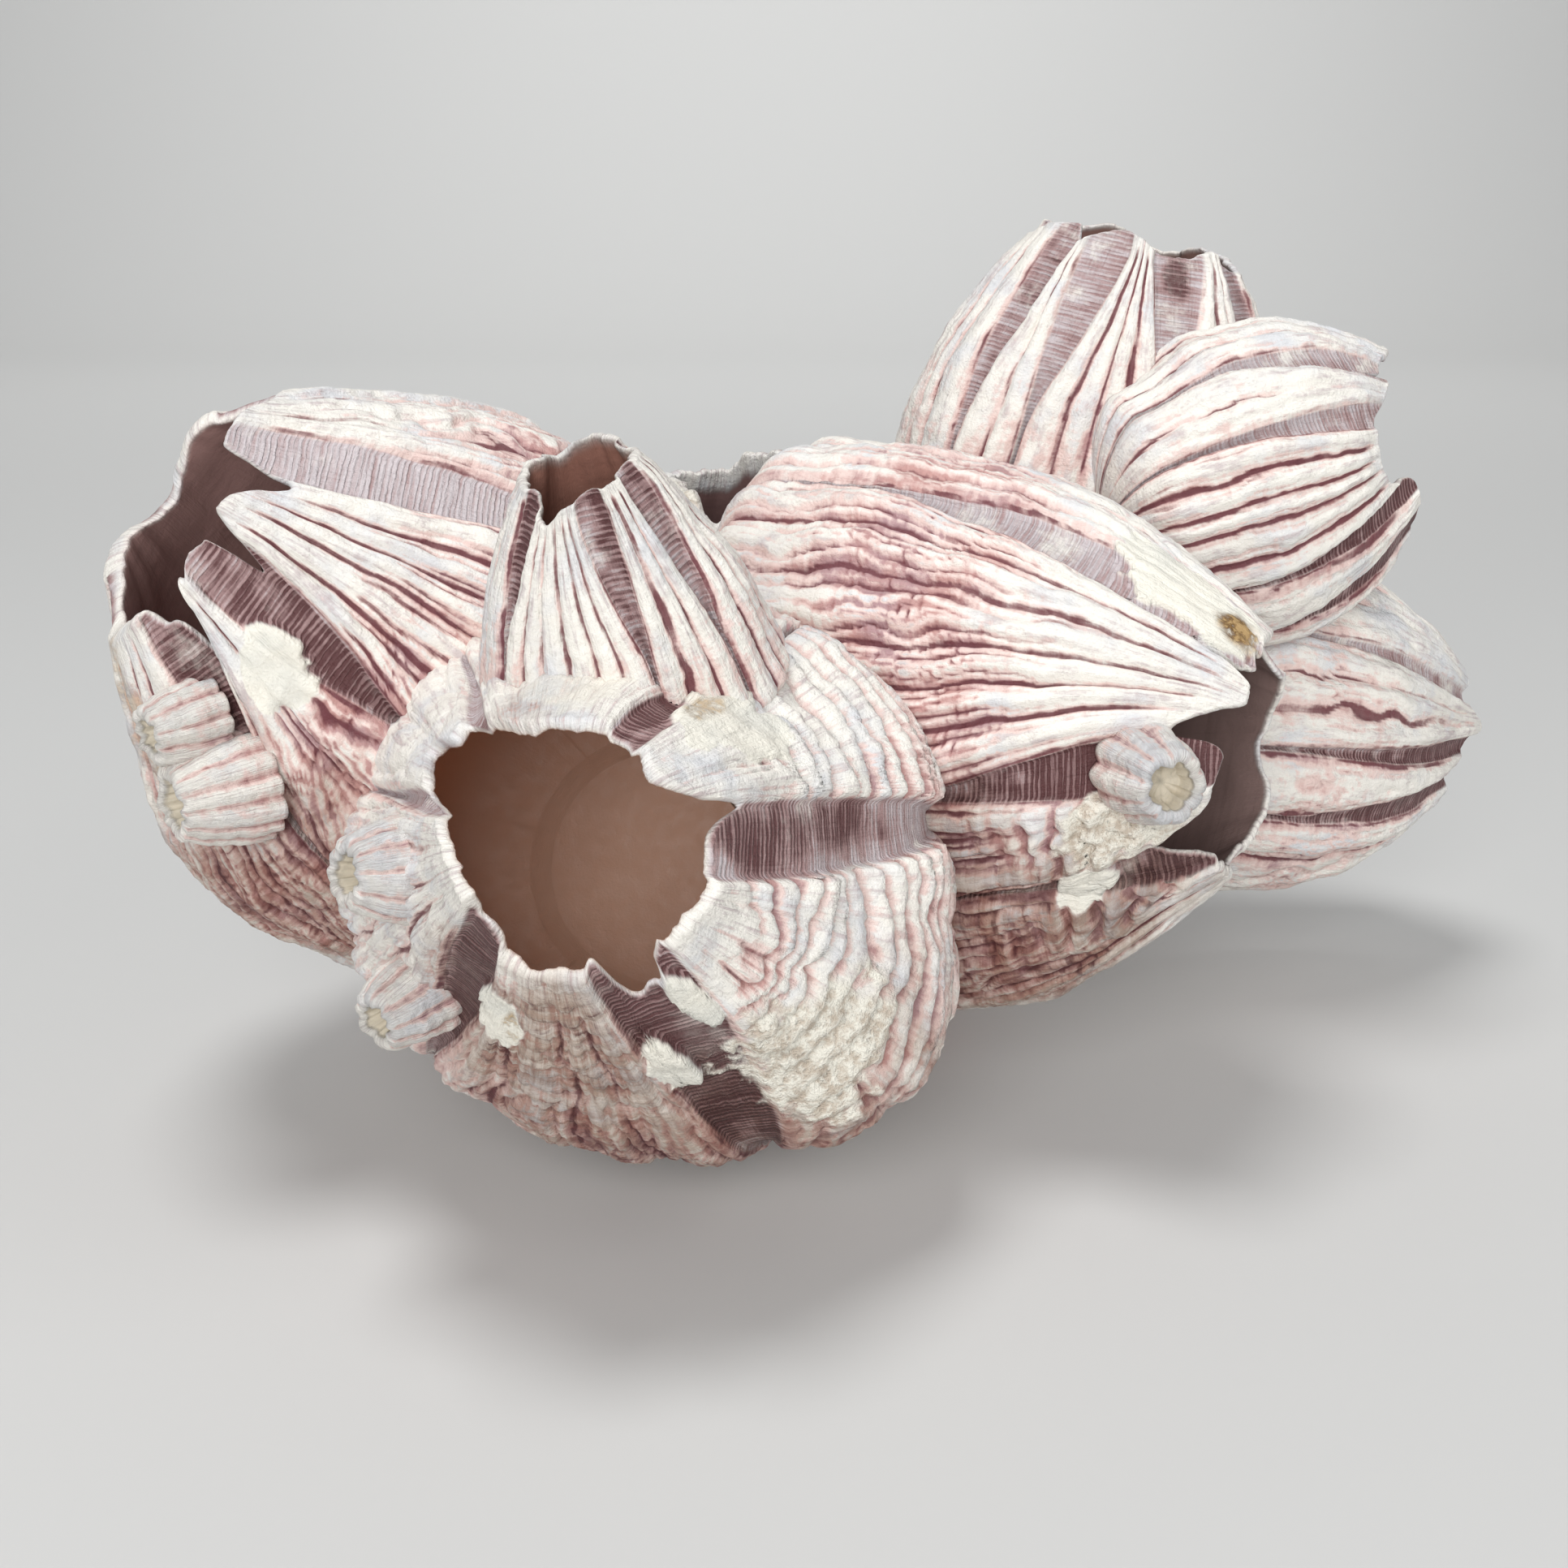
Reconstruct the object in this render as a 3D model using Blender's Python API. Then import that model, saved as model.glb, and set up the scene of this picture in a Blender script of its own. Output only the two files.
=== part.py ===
"""A cluster of eight large acorn barnacles and five small ones, grown together, in metres, +Z up.

The origin is the middle of the flat base of the back barnacle, which stood on the rock. Each
barnacle is one closed shell round an open cup: six or seven ribbed plates that narrow towards the
rim, with sunken smooth strips between them. A younger barnacle ends where it meets an older one.
"""

import math

import bmesh
import bpy
import numpy as np
from mathutils import Matrix, Vector

MM = 0.001
JOINT_GAP = 0.3 * MM  # left between two shells that grew together
RIB_HEIGHT = 0.55 * MM  # of a rib above the wall, and of a groove below it
STRIP_DEPTH = 1.1 * MM  # of the sunken strips between plates
RIM_WALL = 1.5 * MM  # thickness of a shell at its rim
FOOT_WALL = 4.0 * MM  # thickness of a shell at the floor of its cup
FLOOR_ROUND = 3.0 * MM  # how far the floor rises into the wall
OUTER_LEVELS = (0.0, 0.3, 0.58, 0.83, 1.0)  # rings of the outside, as shares of the height
DOME_RING = (-0.75, 0.66)  # the ring under a rounded foot: (share of the dome, share of the radius)
CUTTER_SIDES = 26  # of the smooth filled form that a younger shell ends on

# Each large barnacle, in millimetres and degrees:
#   foot and tip are the ends of its axis, and zero is the direction that angle 0 points to
#   profile is (height, radius) up the wall, and squash is the width over the depth at foot and rim
#   lobes are (angle, extra radius) at the foot, and dome is how far the foot bulges down
#   floor is the height of the cup's floor, and rim is (angle, height) round the opening
#   plates are (first and last angle at the rim, first and last angle at the foot, ribs)
BARNACLES = {
    "barnacle_back": {
        "foot": (0, 0, 0), "tip": (2.5, 4, 62), "zero": (0, -1, 0),
        "profile": ((0, 26.5), (20, 28.5), (45, 19.5), (62, 11)), "squash": (1.0, 1.05),
        "lobes": ((-60, 0), (0, 0), (60, 0), (110, 4), (150, 5), (200, 3), (250, 2)),
        "dome": 0, "floor": 34,
        "rim": ((-80, 63.5), (-40, 62.5), (-15, 61), (-5, 58.5), (8, 60.5), (22, 62), (45, 64), (90, 65.6),
                (120, 65.8), (165, 65), (200, 62.8), (225, 62.3)),
        "plates": ((-30, 14, -38, 20, 4), (34, 68, 28, 78, 3), (92, 128, 86, 138, 3),
                   (150, 190, 144, 200, 3), (214, 250, 208, 260, 3), (274, 312, 268, 318, 3)),
        "color": (0.66, 0.5, 0.47),
    },
    "barnacle_front": {
        "foot": (2, -14, 21), "tip": (-7, -77.5, 44.4), "zero": (0, 0, 1),
        "profile": ((0, 19), (20, 26), (37, 26.6), (53, 19.4), (68, 11.6)), "squash": (1.06, 1.05),
        "lobes": ((-130, 3.5), (-90, -2), (0, -1), (90, 1), (180, 0)),
        "dome": 8, "floor": 24,
        "rim": ((-72, 65), (-68, 69), (-20, 70), (0, 71), (25, 69.5), (40, 66), (50, 61.5), (55, 62.5),
                (62, 59), (68, 63.5), (74, 64), (80, 70), (90, 72.5), (110, 74.5), (124, 75), (132, 72),
                (140, 72), (156, 70), (195, 70), (198, 66), (212, 65), (220, 67.5), (236, 69.5),
                (258, 68.5), (283, 67)),
        "plates": ((-18, 40, -28, 40, 4), (50, 72, 48, 76, 2), (80, 128, 80, 128, 4),
                   (150, 191, 140, 192, 4), (226, 260, 216, 278, 4), (289, 325, 287, 328, 3)),
        "color": (0.78, 0.68, 0.66),
    },
    "barnacle_right": {
        "foot": (13.5, -15.2, 40.3), "tip": (53.9, -39, 42), "zero": (0, 0, 1),
        "profile": ((0, 28), (15, 26.8), (32, 21.5), (47, 11.8)), "squash": (0.85, 0.97),
        "lobes": ((-100, 0), (0, 0), (100, 0), (180, 4)),
        "dome": 11, "floor": 15,
        "rim": ((-15, 47.5), (0, 48), (20, 48), (30, 47), (33, 44), (37, 47), (43, 48.5), (55, 48),
                (60, 46), (68, 43), (74, 46), (97, 46.5), (108, 45.5), (118, 41.5), (132, 43), (147, 45.8),
                (165, 46), (190, 44), (230, 46), (255, 44), (300, 47), (325, 45)),
        "plates": ((-35, 8, -42, 14, 3), (34, 67, 27, 94, 6), (96, 116, 97, 121, 3),
                   (148, 178, 124, 190, 5), (205, 240, 200, 250, 3), (265, 300, 258, 308, 3)),
        "color": (0.72, 0.56, 0.54),
    },
    "barnacle_left": {
        "foot": (-16.3, -14, 34), "tip": (-44.3, -41.7, 64.4), "zero": (0, 0, 1),
        "profile": ((0, 26.4), (18, 26.4), (34, 22.8), (50, 14)), "squash": (1.05, 0.82),
        "lobes": ((-90, 0), (0, 1), (60, 0), (140, 5), (200, 2)),
        "dome": 11, "floor": 14,
        "rim": ((-195, 50), (-170, 51.5), (-164, 52), (-155, 50), (-148, 49.5), (-138, 46.5), (-136, 51),
                (-130, 52.3), (-110, 52.5), (-103, 47.5), (-98, 51.5), (-90, 53.5), (-75, 52), (-66, 49),
                (-60, 51), (-50, 54.5), (-30, 54), (-15, 51), (10, 49), (40, 51), (80, 48), (120, 51)),
        "plates": ((-38, -5, -45, 5, 3), (30, 70, 20, 82, 3), (100, 135, 92, 145, 3),
                   (164, 198, 155, 208, 4), (222, 232, 210, 242, 2), (261, 297, 247, 302, 5)),
        "color": (0.72, 0.58, 0.56),
    },
    "barnacle_far_right": {
        "foot": (38, 2.5, 34), "tip": (91.4, 22, 29.8), "zero": (0, 0, 1),
        "profile": ((0, 14), (27, 20.2), (41, 18.4), (57, 9.8)), "squash": (0.96, 0.95),
        "lobes": (), "dome": 6, "floor": 24,
        "rim": ((0, 54), (40, 55.5), (50, 55.5), (62, 54), (70, 54.5), (77, 56.5), (85, 57.5), (90, 56),
                (97, 54.5), (104, 53), (109, 51), (125, 53), (150, 55), (175, 53), (210, 55.5), (245, 53),
                (280, 55.5), (310, 53)),
        "plates": ((22, 58, 14, 42, 3), (69, 90, 48, 82, 3), (102, 108, 90, 104, 1),
                   (126, 160, 122, 170, 3), (190, 230, 185, 240, 3), (260, 300, 255, 310, 3)),
        "color": (0.8, 0.7, 0.68),
    },
    "barnacle_upper": {
        "foot": (41, 16, 43), "tip": (49, 11.5, 87.6), "zero": (0, -1, 0),
        "profile": ((0, 20), (17, 21.5), (31, 19.2), (45, 12.2)), "squash": (0.98, 1.03),
        "lobes": (), "dome": 9, "floor": 16,
        "rim": ((-90, 45), (-68, 47), (-55, 47.5), (-44, 45.8), (-37, 46.8), (-15, 47.8), (-4, 47.2),
                (8, 46), (25, 46), (40, 47.2), (55, 46), (75, 45), (120, 46.5), (155, 45), (190, 47),
                (220, 45.5), (245, 46.5)),
        "plates": ((-44, -38, -53, -33, 2), (-12, 2, -30, 4, 4), (34, 46, 20, 60, 3),
                   (72, 110, 66, 120, 3), (140, 180, 132, 190, 3), (205, 245, 198, 260, 3),
                   (268, 296, 266, 305, 3)),
        "color": (0.82, 0.7, 0.68),
    },
    "barnacle_upper_right": {
        "foot": (49, -5, 59), "tip": (77.5, 1, 67.6), "zero": (0, 0, 1),
        "profile": ((0, 14.5), (11, 17.4), (20, 16), (30, 10.6)), "squash": (0.95, 0.7),
        "lobes": (), "dome": 6, "floor": 8,
        "rim": ((5, 30.5), (15, 29.5), (25, 27.5), (33, 26.5), (36, 24.5), (38, 27.5), (45, 27),
                (55, 25), (70, 23), (98, 23.5), (105, 26), (115, 27.5), (128, 28), (150, 28.5), (180, 27),
                (215, 29), (250, 27), (290, 29), (330, 28)),
        "plates": ((0, 26, -8, 22, 3), (43, 55, 30, 52, 2), (70, 103, 60, 118, 5),
                   (121, 130, 124, 148, 1), (160, 200, 156, 210, 3), (230, 270, 225, 280, 2),
                   (295, 335, 290, 342, 2)),
        "color": (0.8, 0.68, 0.66),
    },
    "barnacle_on_front": {
        "foot": (-3.8, -57, 53), "tip": (-6.9, -64, 70.4), "zero": (0, -1, 0),
        "profile": ((0, 12.3), (9, 9.9), (19, 5.4)), "squash": (1.07, 1.08),
        "lobes": (), "dome": 4, "floor": 6,
        "rim": ((-70, 20), (-45, 19), (-30, 18.3), (-5, 19.6), (20, 20.2), (45, 20.4), (90, 20.8),
                (130, 20.6), (175, 21), (205, 19.8), (240, 20.6)),
        "plates": ((-45, -6, -56, 16, 4), (22, 46, 18, 52, 2), (72, 110, 56, 118, 3),
                   (130, 165, 122, 175, 2), (185, 225, 178, 232, 2), (240, 292, 236, 300, 3)),
        "color": (0.84, 0.72, 0.7),
    },
}

# Which older shells end each younger one. The names are in order of age.
OLDER = {
    "barnacle_front": ("barnacle_back",),
    "barnacle_right": ("barnacle_back", "barnacle_front"),
    "barnacle_left": ("barnacle_back", "barnacle_front", "barnacle_right"),
    "barnacle_far_right": ("barnacle_back", "barnacle_right"),
    "barnacle_upper": ("barnacle_back", "barnacle_right", "barnacle_far_right"),
    "barnacle_upper_right": ("barnacle_right", "barnacle_upper", "barnacle_far_right"),
    "barnacle_on_front": ("barnacle_front", "barnacle_left", "barnacle_right"),
}

# Each small barnacle: the shell it grows on, its angle and height there, the lean of its axis
# towards the carrier's tip (0 to 1) and round the carrier, its foot radius, its height and its
# rim radius in millimetres. One that touches an earlier one ends on it.
SMALL = (
    ("barnacle_right", 88, 41.5, 0.25, 0, 4.3, 6.0, 2.0),
    ("barnacle_left", -156, 37.6, 0.42, -0.5, 4.4, 6.4, 1.7),
    ("barnacle_left", -158, 43.5, 0.3, -0.5, 3.0, 4.6, 1.3),
    ("barnacle_front", 101, 61, 0.35, 0, 4.4, 5.6, 1.5),
    ("barnacle_front", 131, 51, 0.25, 0, 4.6, 5.6, 1.6),
)
SMALL_RIBS = 6
SMALL_GAP = 0.5 * MM  # by which the room that an earlier one takes is larger than itself
SMALL_COLOR = (0.84, 0.78, 0.7)


def clear_scene():
    for thing in list(bpy.data.objects):
        bpy.data.objects.remove(thing)


def curve_through(knots, x, period=0.0):
    """The smooth curve through (x, y) knots, read at x. It repeats after period, if there is one."""
    knots = sorted(knots)
    xs = np.array([knot[0] for knot in knots], float)
    ys = np.array([knot[1] for knot in knots], float)
    if period:
        x = xs[0] + (x - xs[0]) % period
        xs = np.concatenate([xs - period, xs, xs + period])
        ys = np.tile(ys, 3)
    slopes = np.diff(ys) / np.diff(xs)
    tangents = np.concatenate([slopes[:1], (slopes[:-1] + slopes[1:]) / 2, slopes[-1:]])
    tangents[1:-1][slopes[:-1] * slopes[1:] <= 0] = 0
    i = int(np.clip(np.searchsorted(xs, x, side="right") - 1, 0, len(xs) - 2))
    width = xs[i + 1] - xs[i]
    t = max((x - xs[i]) / width, 0.0)
    if t > 1:
        return ys[i + 1] + (x - xs[i + 1]) * tangents[i + 1]
    near = ys[i] * (1 + 2 * t) * (1 - t) ** 2 + ys[i + 1] * t * t * (3 - 2 * t)
    return near + width * (tangents[i] * t * (1 - t) ** 2 + tangents[i + 1] * t * t * (t - 1))


class Shell:
    """The form of one barnacle: a point of its wall from an angle round the axis and a height up it."""

    def __init__(self, form):
        self.form = form
        self.foot = Vector(form["foot"]) * MM
        axis = Vector(form["tip"]) * MM - self.foot
        self.height = axis.length
        self.up = axis.normalized()
        zero = Vector(form["zero"])
        self.across = (zero - self.up * zero.dot(self.up)).normalized()
        self.side = self.up.cross(self.across)

    def radius(self, angle, height):
        share = min(max(height / self.height, 0), 1)
        size = curve_through(self.form["profile"], max(height, 0) / MM)
        first, last = self.form["squash"]
        ratio = first * (1 - share) + last * share
        turn = math.radians(angle)
        size *= ratio / math.hypot(ratio * math.cos(turn), math.sin(turn))
        if self.form["lobes"]:
            fade = min((1 - share) * 2.5, 1) * math.sin(math.pi * (0.15 + 0.7 * (1 - share)))
            size += curve_through(self.form["lobes"], angle, 360) * fade
        return size * MM

    def rim(self, angle):
        return curve_through(self.form["rim"], angle, 360) * MM

    def point(self, angle, height, radius):
        turn = math.radians(angle)
        spoke = self.across * math.cos(turn) + self.side * math.sin(turn)
        return self.foot + self.up * height + spoke * radius

    def columns(self):
        """(angle at the rim, angle at the foot, relief) of each line up the wall, round the shell."""
        plates = self.form["plates"]
        lines = []
        for number, (rim_a, rim_b, foot_a, foot_b, ribs) in enumerate(plates):
            for step in range(2 * ribs + 1):
                share = step / (2 * ribs)
                relief = RIB_HEIGHT if step % 2 else -RIB_HEIGHT * 0.7
                lines.append((rim_a + (rim_b - rim_a) * share, foot_a + (foot_b - foot_a) * share, relief))
            following = plates[(number + 1) % len(plates)]
            turn = 360 if number == len(plates) - 1 else 0
            rim_next, foot_next = following[0] + turn, following[2] + turn
            for share in (0.12, 0.88):
                rim_angle = rim_b + (rim_next - rim_b) * share
                foot_angle = foot_b + (foot_next - foot_b) * share
                lines.append((rim_angle, foot_angle, -STRIP_DEPTH))
        if len(lines) % 2:
            lines.pop()
        return lines

    def angle_at(self, column, height):
        share = min(max(height / self.height, 0), 1)
        return column[1] + (column[0] - column[1]) * share

    def outer_ring(self, bm, columns, level, extra):
        """One ring of the outside, at this share of the height. A flat foot's lowest ring lies at z = 0."""
        ring = []
        for column in columns:
            height = level * self.rim(column[0])
            angle = self.angle_at(column, height)
            radius = self.radius(angle, height) + column[2] + extra
            point = self.point(angle, height, radius)
            if level == 0 and not self.form["dome"]:
                point -= self.up * (point.z / self.up.z)
                point.z = 0
            ring.append(bm.verts.new(point))
        return ring

    def dome_ring(self, bm, columns, extra):
        drop, share = DOME_RING
        ring = []
        for column in columns:
            radius = (self.radius(column[1], 0) + extra) * share
            height = drop * (self.form["dome"] * MM + extra)
            ring.append(bm.verts.new(self.point(column[1], height, radius)))
        return ring

    def rim_ring(self, bm):
        """The inner edge of the rim, a little lower than the outer edge."""
        ring = []
        for column in self.columns():
            height = self.rim(column[0])
            angle = self.angle_at(column, height)
            radius = self.radius(angle, height) - RIM_WALL
            ring.append(bm.verts.new(self.point(angle, height - RIM_WALL * 0.3, radius)))
        return ring

    def cup_ring(self, bm, share, inset=1.0):
        """A ring of the cup, at this share of the way from its floor to the rim, on every other line."""
        ring = []
        floor = self.form["floor"] * MM
        for column in self.columns()[::2]:
            height = floor + (self.rim(column[0]) - floor) * share
            angle = self.angle_at(column, height)
            wall = FOOT_WALL + (RIM_WALL - FOOT_WALL) * share
            radius = (self.radius(angle, height) - wall) * inset
            ring.append(bm.verts.new(self.point(angle, height, radius)))
        return ring


def band(bm, lower, upper):
    """The faces between two rings of the same number of points."""
    for i, point in enumerate(lower):
        after = (i + 1) % len(lower)
        bm.faces.new((point, lower[after], upper[after], upper[i]))


def halving_band(bm, fine, coarse):
    """The faces from a ring down to one with half as many points."""
    for i, point in enumerate(coarse):
        after = coarse[(i + 1) % len(coarse)]
        middle = fine[2 * i + 1]
        bm.faces.new((fine[2 * i], middle, point))
        bm.faces.new((middle, after, point))
        bm.faces.new((middle, fine[(2 * i + 2) % len(fine)], after))


def fan(bm, ring, middle):
    for i, point in enumerate(ring):
        bm.faces.new((point, ring[(i + 1) % len(ring)], middle))


def close_foot(bm, shell, columns, ring, extra):
    """Closes the outside under its lowest ring: flat, or with a dome that sits in the older shells."""
    bottom = 0
    if shell.form["dome"]:
        lower = shell.dome_ring(bm, columns, extra)
        band(bm, lower, ring)
        ring = lower
        bottom = -(shell.form["dome"] * MM + extra)
    fan(bm, ring[::-1], bm.verts.new(shell.point(0, bottom, 0)))


def finish_mesh(bm, name):
    bmesh.ops.triangulate(bm, faces=bm.faces[:])
    bmesh.ops.recalc_face_normals(bm, faces=bm.faces[:])
    mesh = bpy.data.meshes.new(name)
    bm.to_mesh(mesh)
    bm.free()
    return mesh


def outside(bm, shell, columns, extra):
    """The outside of a shell up to its rim. Returns the rim's ring."""
    rings = [shell.outer_ring(bm, columns, level, extra) for level in OUTER_LEVELS]
    close_foot(bm, shell, columns, rings[0], extra)
    for lower, upper in zip(rings, rings[1:]):
        band(bm, lower, upper)
    return rings[-1]


def shell_mesh(shell, name):
    """The closed solid of one barnacle: its outside, its rim and its cup."""
    bm = bmesh.new()
    top = outside(bm, shell, shell.columns(), 0)
    rim = shell.rim_ring(bm)
    band(bm, top, rim)
    upper = shell.cup_ring(bm, 0.72)
    halving_band(bm, rim, upper)
    rise = FLOOR_ROUND / (shell.height - shell.form["floor"] * MM)
    for share, inset in ((rise, 0.97), (0.0, 0.7)):
        lower = shell.cup_ring(bm, share, inset)
        band(bm, upper, lower)
        upper = lower
    fan(bm, upper, bm.verts.new(shell.point(0, shell.form["floor"] * MM, 0)))
    return finish_mesh(bm, name)


def filled_mesh(shell, name):
    """A smooth filled form that clears the ribs by the gap: what a younger shell ends on."""
    bm = bmesh.new()
    angles = [360 * i / CUTTER_SIDES for i in range(CUTTER_SIDES)]
    columns = [(angle, angle, 0) for angle in angles]
    mean_radius = shell.radius(0, shell.height / 2)
    flat_side = mean_radius * (1 / math.cos(math.pi / CUTTER_SIDES) - 1)
    top = outside(bm, shell, columns, RIB_HEIGHT + JOINT_GAP + flat_side)
    fan(bm, top, bm.verts.new(shell.point(0, shell.height, 0)))
    return finish_mesh(bm, name)


def material(name, color):
    made = bpy.data.materials.new(name)
    made.use_nodes = True
    surface = made.node_tree.nodes["Principled BSDF"]
    surface.inputs["Base Color"].default_value = (*color, 1)
    surface.inputs["Roughness"].default_value = 0.7
    surface.inputs["Metallic"].default_value = 0
    return made


def place(name, mesh):
    thing = bpy.data.objects.new(name, mesh)
    bpy.context.scene.collection.objects.link(thing)
    return thing


def largest_body(bm):
    """Deletes every separate body but the largest."""
    left = set(bm.verts)
    bodies = []
    while left:
        body = {left.pop()}
        edge = set(body)
        while edge:
            edge = {link.other_vert(vert) for vert in edge for link in vert.link_edges} - body
            body |= edge
        left -= body
        bodies.append(body)
    bodies.sort(key=len)
    bmesh.ops.delete(bm, geom=[vert for body in bodies[:-1] for vert in body], context="VERTS")


def cut_away(thing, cutters):
    """Ends a shell on the older shells, and keeps the one body that is left outside them."""
    for cutter in cutters:
        cut = thing.modifiers.new("ends on " + cutter.name, "BOOLEAN")
        cut.operation = "DIFFERENCE"
        cut.object = cutter
        bpy.context.view_layer.update()
        graph = bpy.context.evaluated_depsgraph_get()
        mesh = bpy.data.meshes.new_from_object(thing.evaluated_get(graph))
        thing.modifiers.clear()
        bm = bmesh.new()
        bm.from_mesh(mesh)
        largest_body(bm)
        bmesh.ops.triangulate(bm, faces=bm.faces[:])
        bm.to_mesh(mesh)
        bm.free()
        thing.data = mesh


def small_frame(carrier, angle, height, lean, sway):
    """The place and axis of a small barnacle on its carrier's wall, as a matrix."""
    step_up, step_round = 0.5 * MM, 2
    here = carrier.point(angle, height, carrier.radius(angle, height))
    above = carrier.point(angle, height + step_up, carrier.radius(angle, height + step_up))
    beside = carrier.point(angle + step_round, height, carrier.radius(angle + step_round, height))
    normal = (beside - here).cross(above - here).normalized()
    axis = (normal * (1 - lean) + carrier.up * lean + (beside - here).normalized() * sway).normalized()
    turn = Vector((0, 0, 1)).rotation_difference(axis).to_matrix().to_4x4()
    return Matrix.Translation(here) @ turn


def small_mesh(name, foot_radius, height, rim_radius):
    """A small barnacle, standing on the XY plane and sunk a little below it."""
    bm = bmesh.new()
    count = 2 * SMALL_RIBS
    sunk = 1.5 * MM

    def ring(radius, z, relief=0.0):
        points = []
        for i in range(count):
            reach = radius + (relief if i % 2 else -relief)
            turn = 2 * math.pi * i / count
            points.append(bm.verts.new((reach * math.cos(turn), reach * math.sin(turn), z)))
        return points

    rings = [ring(foot_radius, -sunk, RIB_HEIGHT)]
    rings.append(ring(foot_radius * 0.75 + rim_radius * 0.25, height * 0.45, RIB_HEIGHT * 0.6))
    rings.append(ring(rim_radius + 0.6 * MM, height, RIB_HEIGHT * 0.2))
    rings.append(ring(rim_radius, height * 0.97))
    fan(bm, rings[0][::-1], bm.verts.new((0, 0, -sunk)))
    for lower, upper in zip(rings, rings[1:]):
        band(bm, lower, upper)
    fan(bm, rings[-1], bm.verts.new((0, 0, height * 0.4)))
    return finish_mesh(bm, name)


def build_large():
    shells, cutters = {}, {}
    for name, form in BARNACLES.items():
        shells[name] = Shell(form)
        cutters[name] = place("filled_" + name, filled_mesh(shells[name], "filled_" + name))
    for name, form in BARNACLES.items():
        thing = place(name, shell_mesh(shells[name], name))
        cut_away(thing, [cutters[older] for older in OLDER.get(name, ())])
        thing.data.materials.clear()
        thing.data.materials.append(material(name + "_shell", form["color"]))
    return shells, cutters


def build_small(shells, cutters):
    finish = material("small_shell", SMALL_COLOR)
    rooms = {}
    for number, (carrier, angle, height, lean, sway, *sizes) in enumerate(SMALL, 1):
        name = f"barnacle_small_{number}"
        spot = small_frame(shells[carrier], angle, height * MM, lean, sway)
        mesh = small_mesh(name, *(size * MM for size in sizes))
        mesh.transform(spot)
        thing = place(name, mesh)
        older = [rooms[room] for room in rooms if SMALL[room - 1][0] == carrier]
        cut_away(thing, [cutters[carrier], *older])
        thing.data.materials.clear()
        thing.data.materials.append(finish)
        room = small_mesh("room_" + name, *(size * MM + SMALL_GAP for size in sizes))
        room.transform(spot)
        rooms[number] = place("room_" + name, room)
    cutters.update(rooms)


def main():
    clear_scene()
    shells, cutters = build_large()
    build_small(shells, cutters)
    for cutter in cutters.values():
        bpy.data.objects.remove(cutter)


main()
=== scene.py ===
import math

import bpy
import numpy as np
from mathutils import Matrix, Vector


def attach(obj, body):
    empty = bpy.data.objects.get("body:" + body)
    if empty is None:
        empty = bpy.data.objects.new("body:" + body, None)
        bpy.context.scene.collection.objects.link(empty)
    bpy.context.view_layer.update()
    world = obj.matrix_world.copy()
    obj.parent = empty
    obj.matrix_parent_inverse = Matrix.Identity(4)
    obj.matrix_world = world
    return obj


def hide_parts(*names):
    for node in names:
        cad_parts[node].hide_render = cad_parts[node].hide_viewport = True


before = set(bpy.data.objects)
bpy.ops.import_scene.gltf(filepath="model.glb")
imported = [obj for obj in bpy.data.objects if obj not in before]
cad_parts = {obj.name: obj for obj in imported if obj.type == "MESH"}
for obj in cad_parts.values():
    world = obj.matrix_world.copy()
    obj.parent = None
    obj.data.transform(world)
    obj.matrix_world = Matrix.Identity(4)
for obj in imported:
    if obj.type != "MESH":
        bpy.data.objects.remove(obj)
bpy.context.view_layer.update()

MM = 0.001
PREFIX = "barnacle_"  # what all nodes' names start with

# The photograph's camera
CAMERA_PLACE = (0.009, -0.220, 0.090)
CAMERA_PITCH = 15.9  # degrees below level
CAMERA_LENS = 45.0
CAMERA_SENSOR = 36.0
CAMERA_NEAR = 0.01

# The forms of the shells, in millimetres and degrees, much as the solids have them:
#   foot and tip are the ends of the axis, and zero is the direction that angle 0 points to
#   profile is (height, radius), squash is the width over the depth at foot and rim
#   lobes are (angle, extra radius) at the foot, dome is how far the foot bulges down
#   floor is the height of the cup's floor, and rim is (angle, height) round the opening
#   plates are (first and last angle at the rim, first and last angle at the foot, ribs)
# And what only the looks need:
#   rose is how much red lies in the grooves of each plate, partly painted shade in them, strips is how
#   dark each strip is
#   fine is the range of angles that gets the closest grid, and grid is its columns and rows
#   pinch is the share of the height where each strip, coming down from the rim, runs out
#   lip is (angle, thickness) of the rim, jag is how ragged it is, and wander is how far the ribs
#   stray from straight lines
#   detail is the size of ribs, folds and grain beside those of the largest shells
#   splits is how strongly the ribs divide lower down, even is the height of the band under the
#   rim where the ribs fade, and white is how far the rim's white reaches into the cup
#   zones are patches of each kind: (angle, height, half width in degrees, half height, amount)
#   inside is the colour of the cup; its very floor is painted darker and its wall paler up to the rim,
#   painted light that evens out the shade in the cup, and partly the paler upper wall of a real barnacle
# USUAL holds what a shell has where it says nothing else
USUAL = {
    "zero": (0, 0, 1), "lobes": (), "lip": ((0, 1.2),), "jag": 0.25, "splits": 1.0,
    "even": 4.0, "white": 0.0, "wander": 1.0, "detail": 1.0,
}
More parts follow.
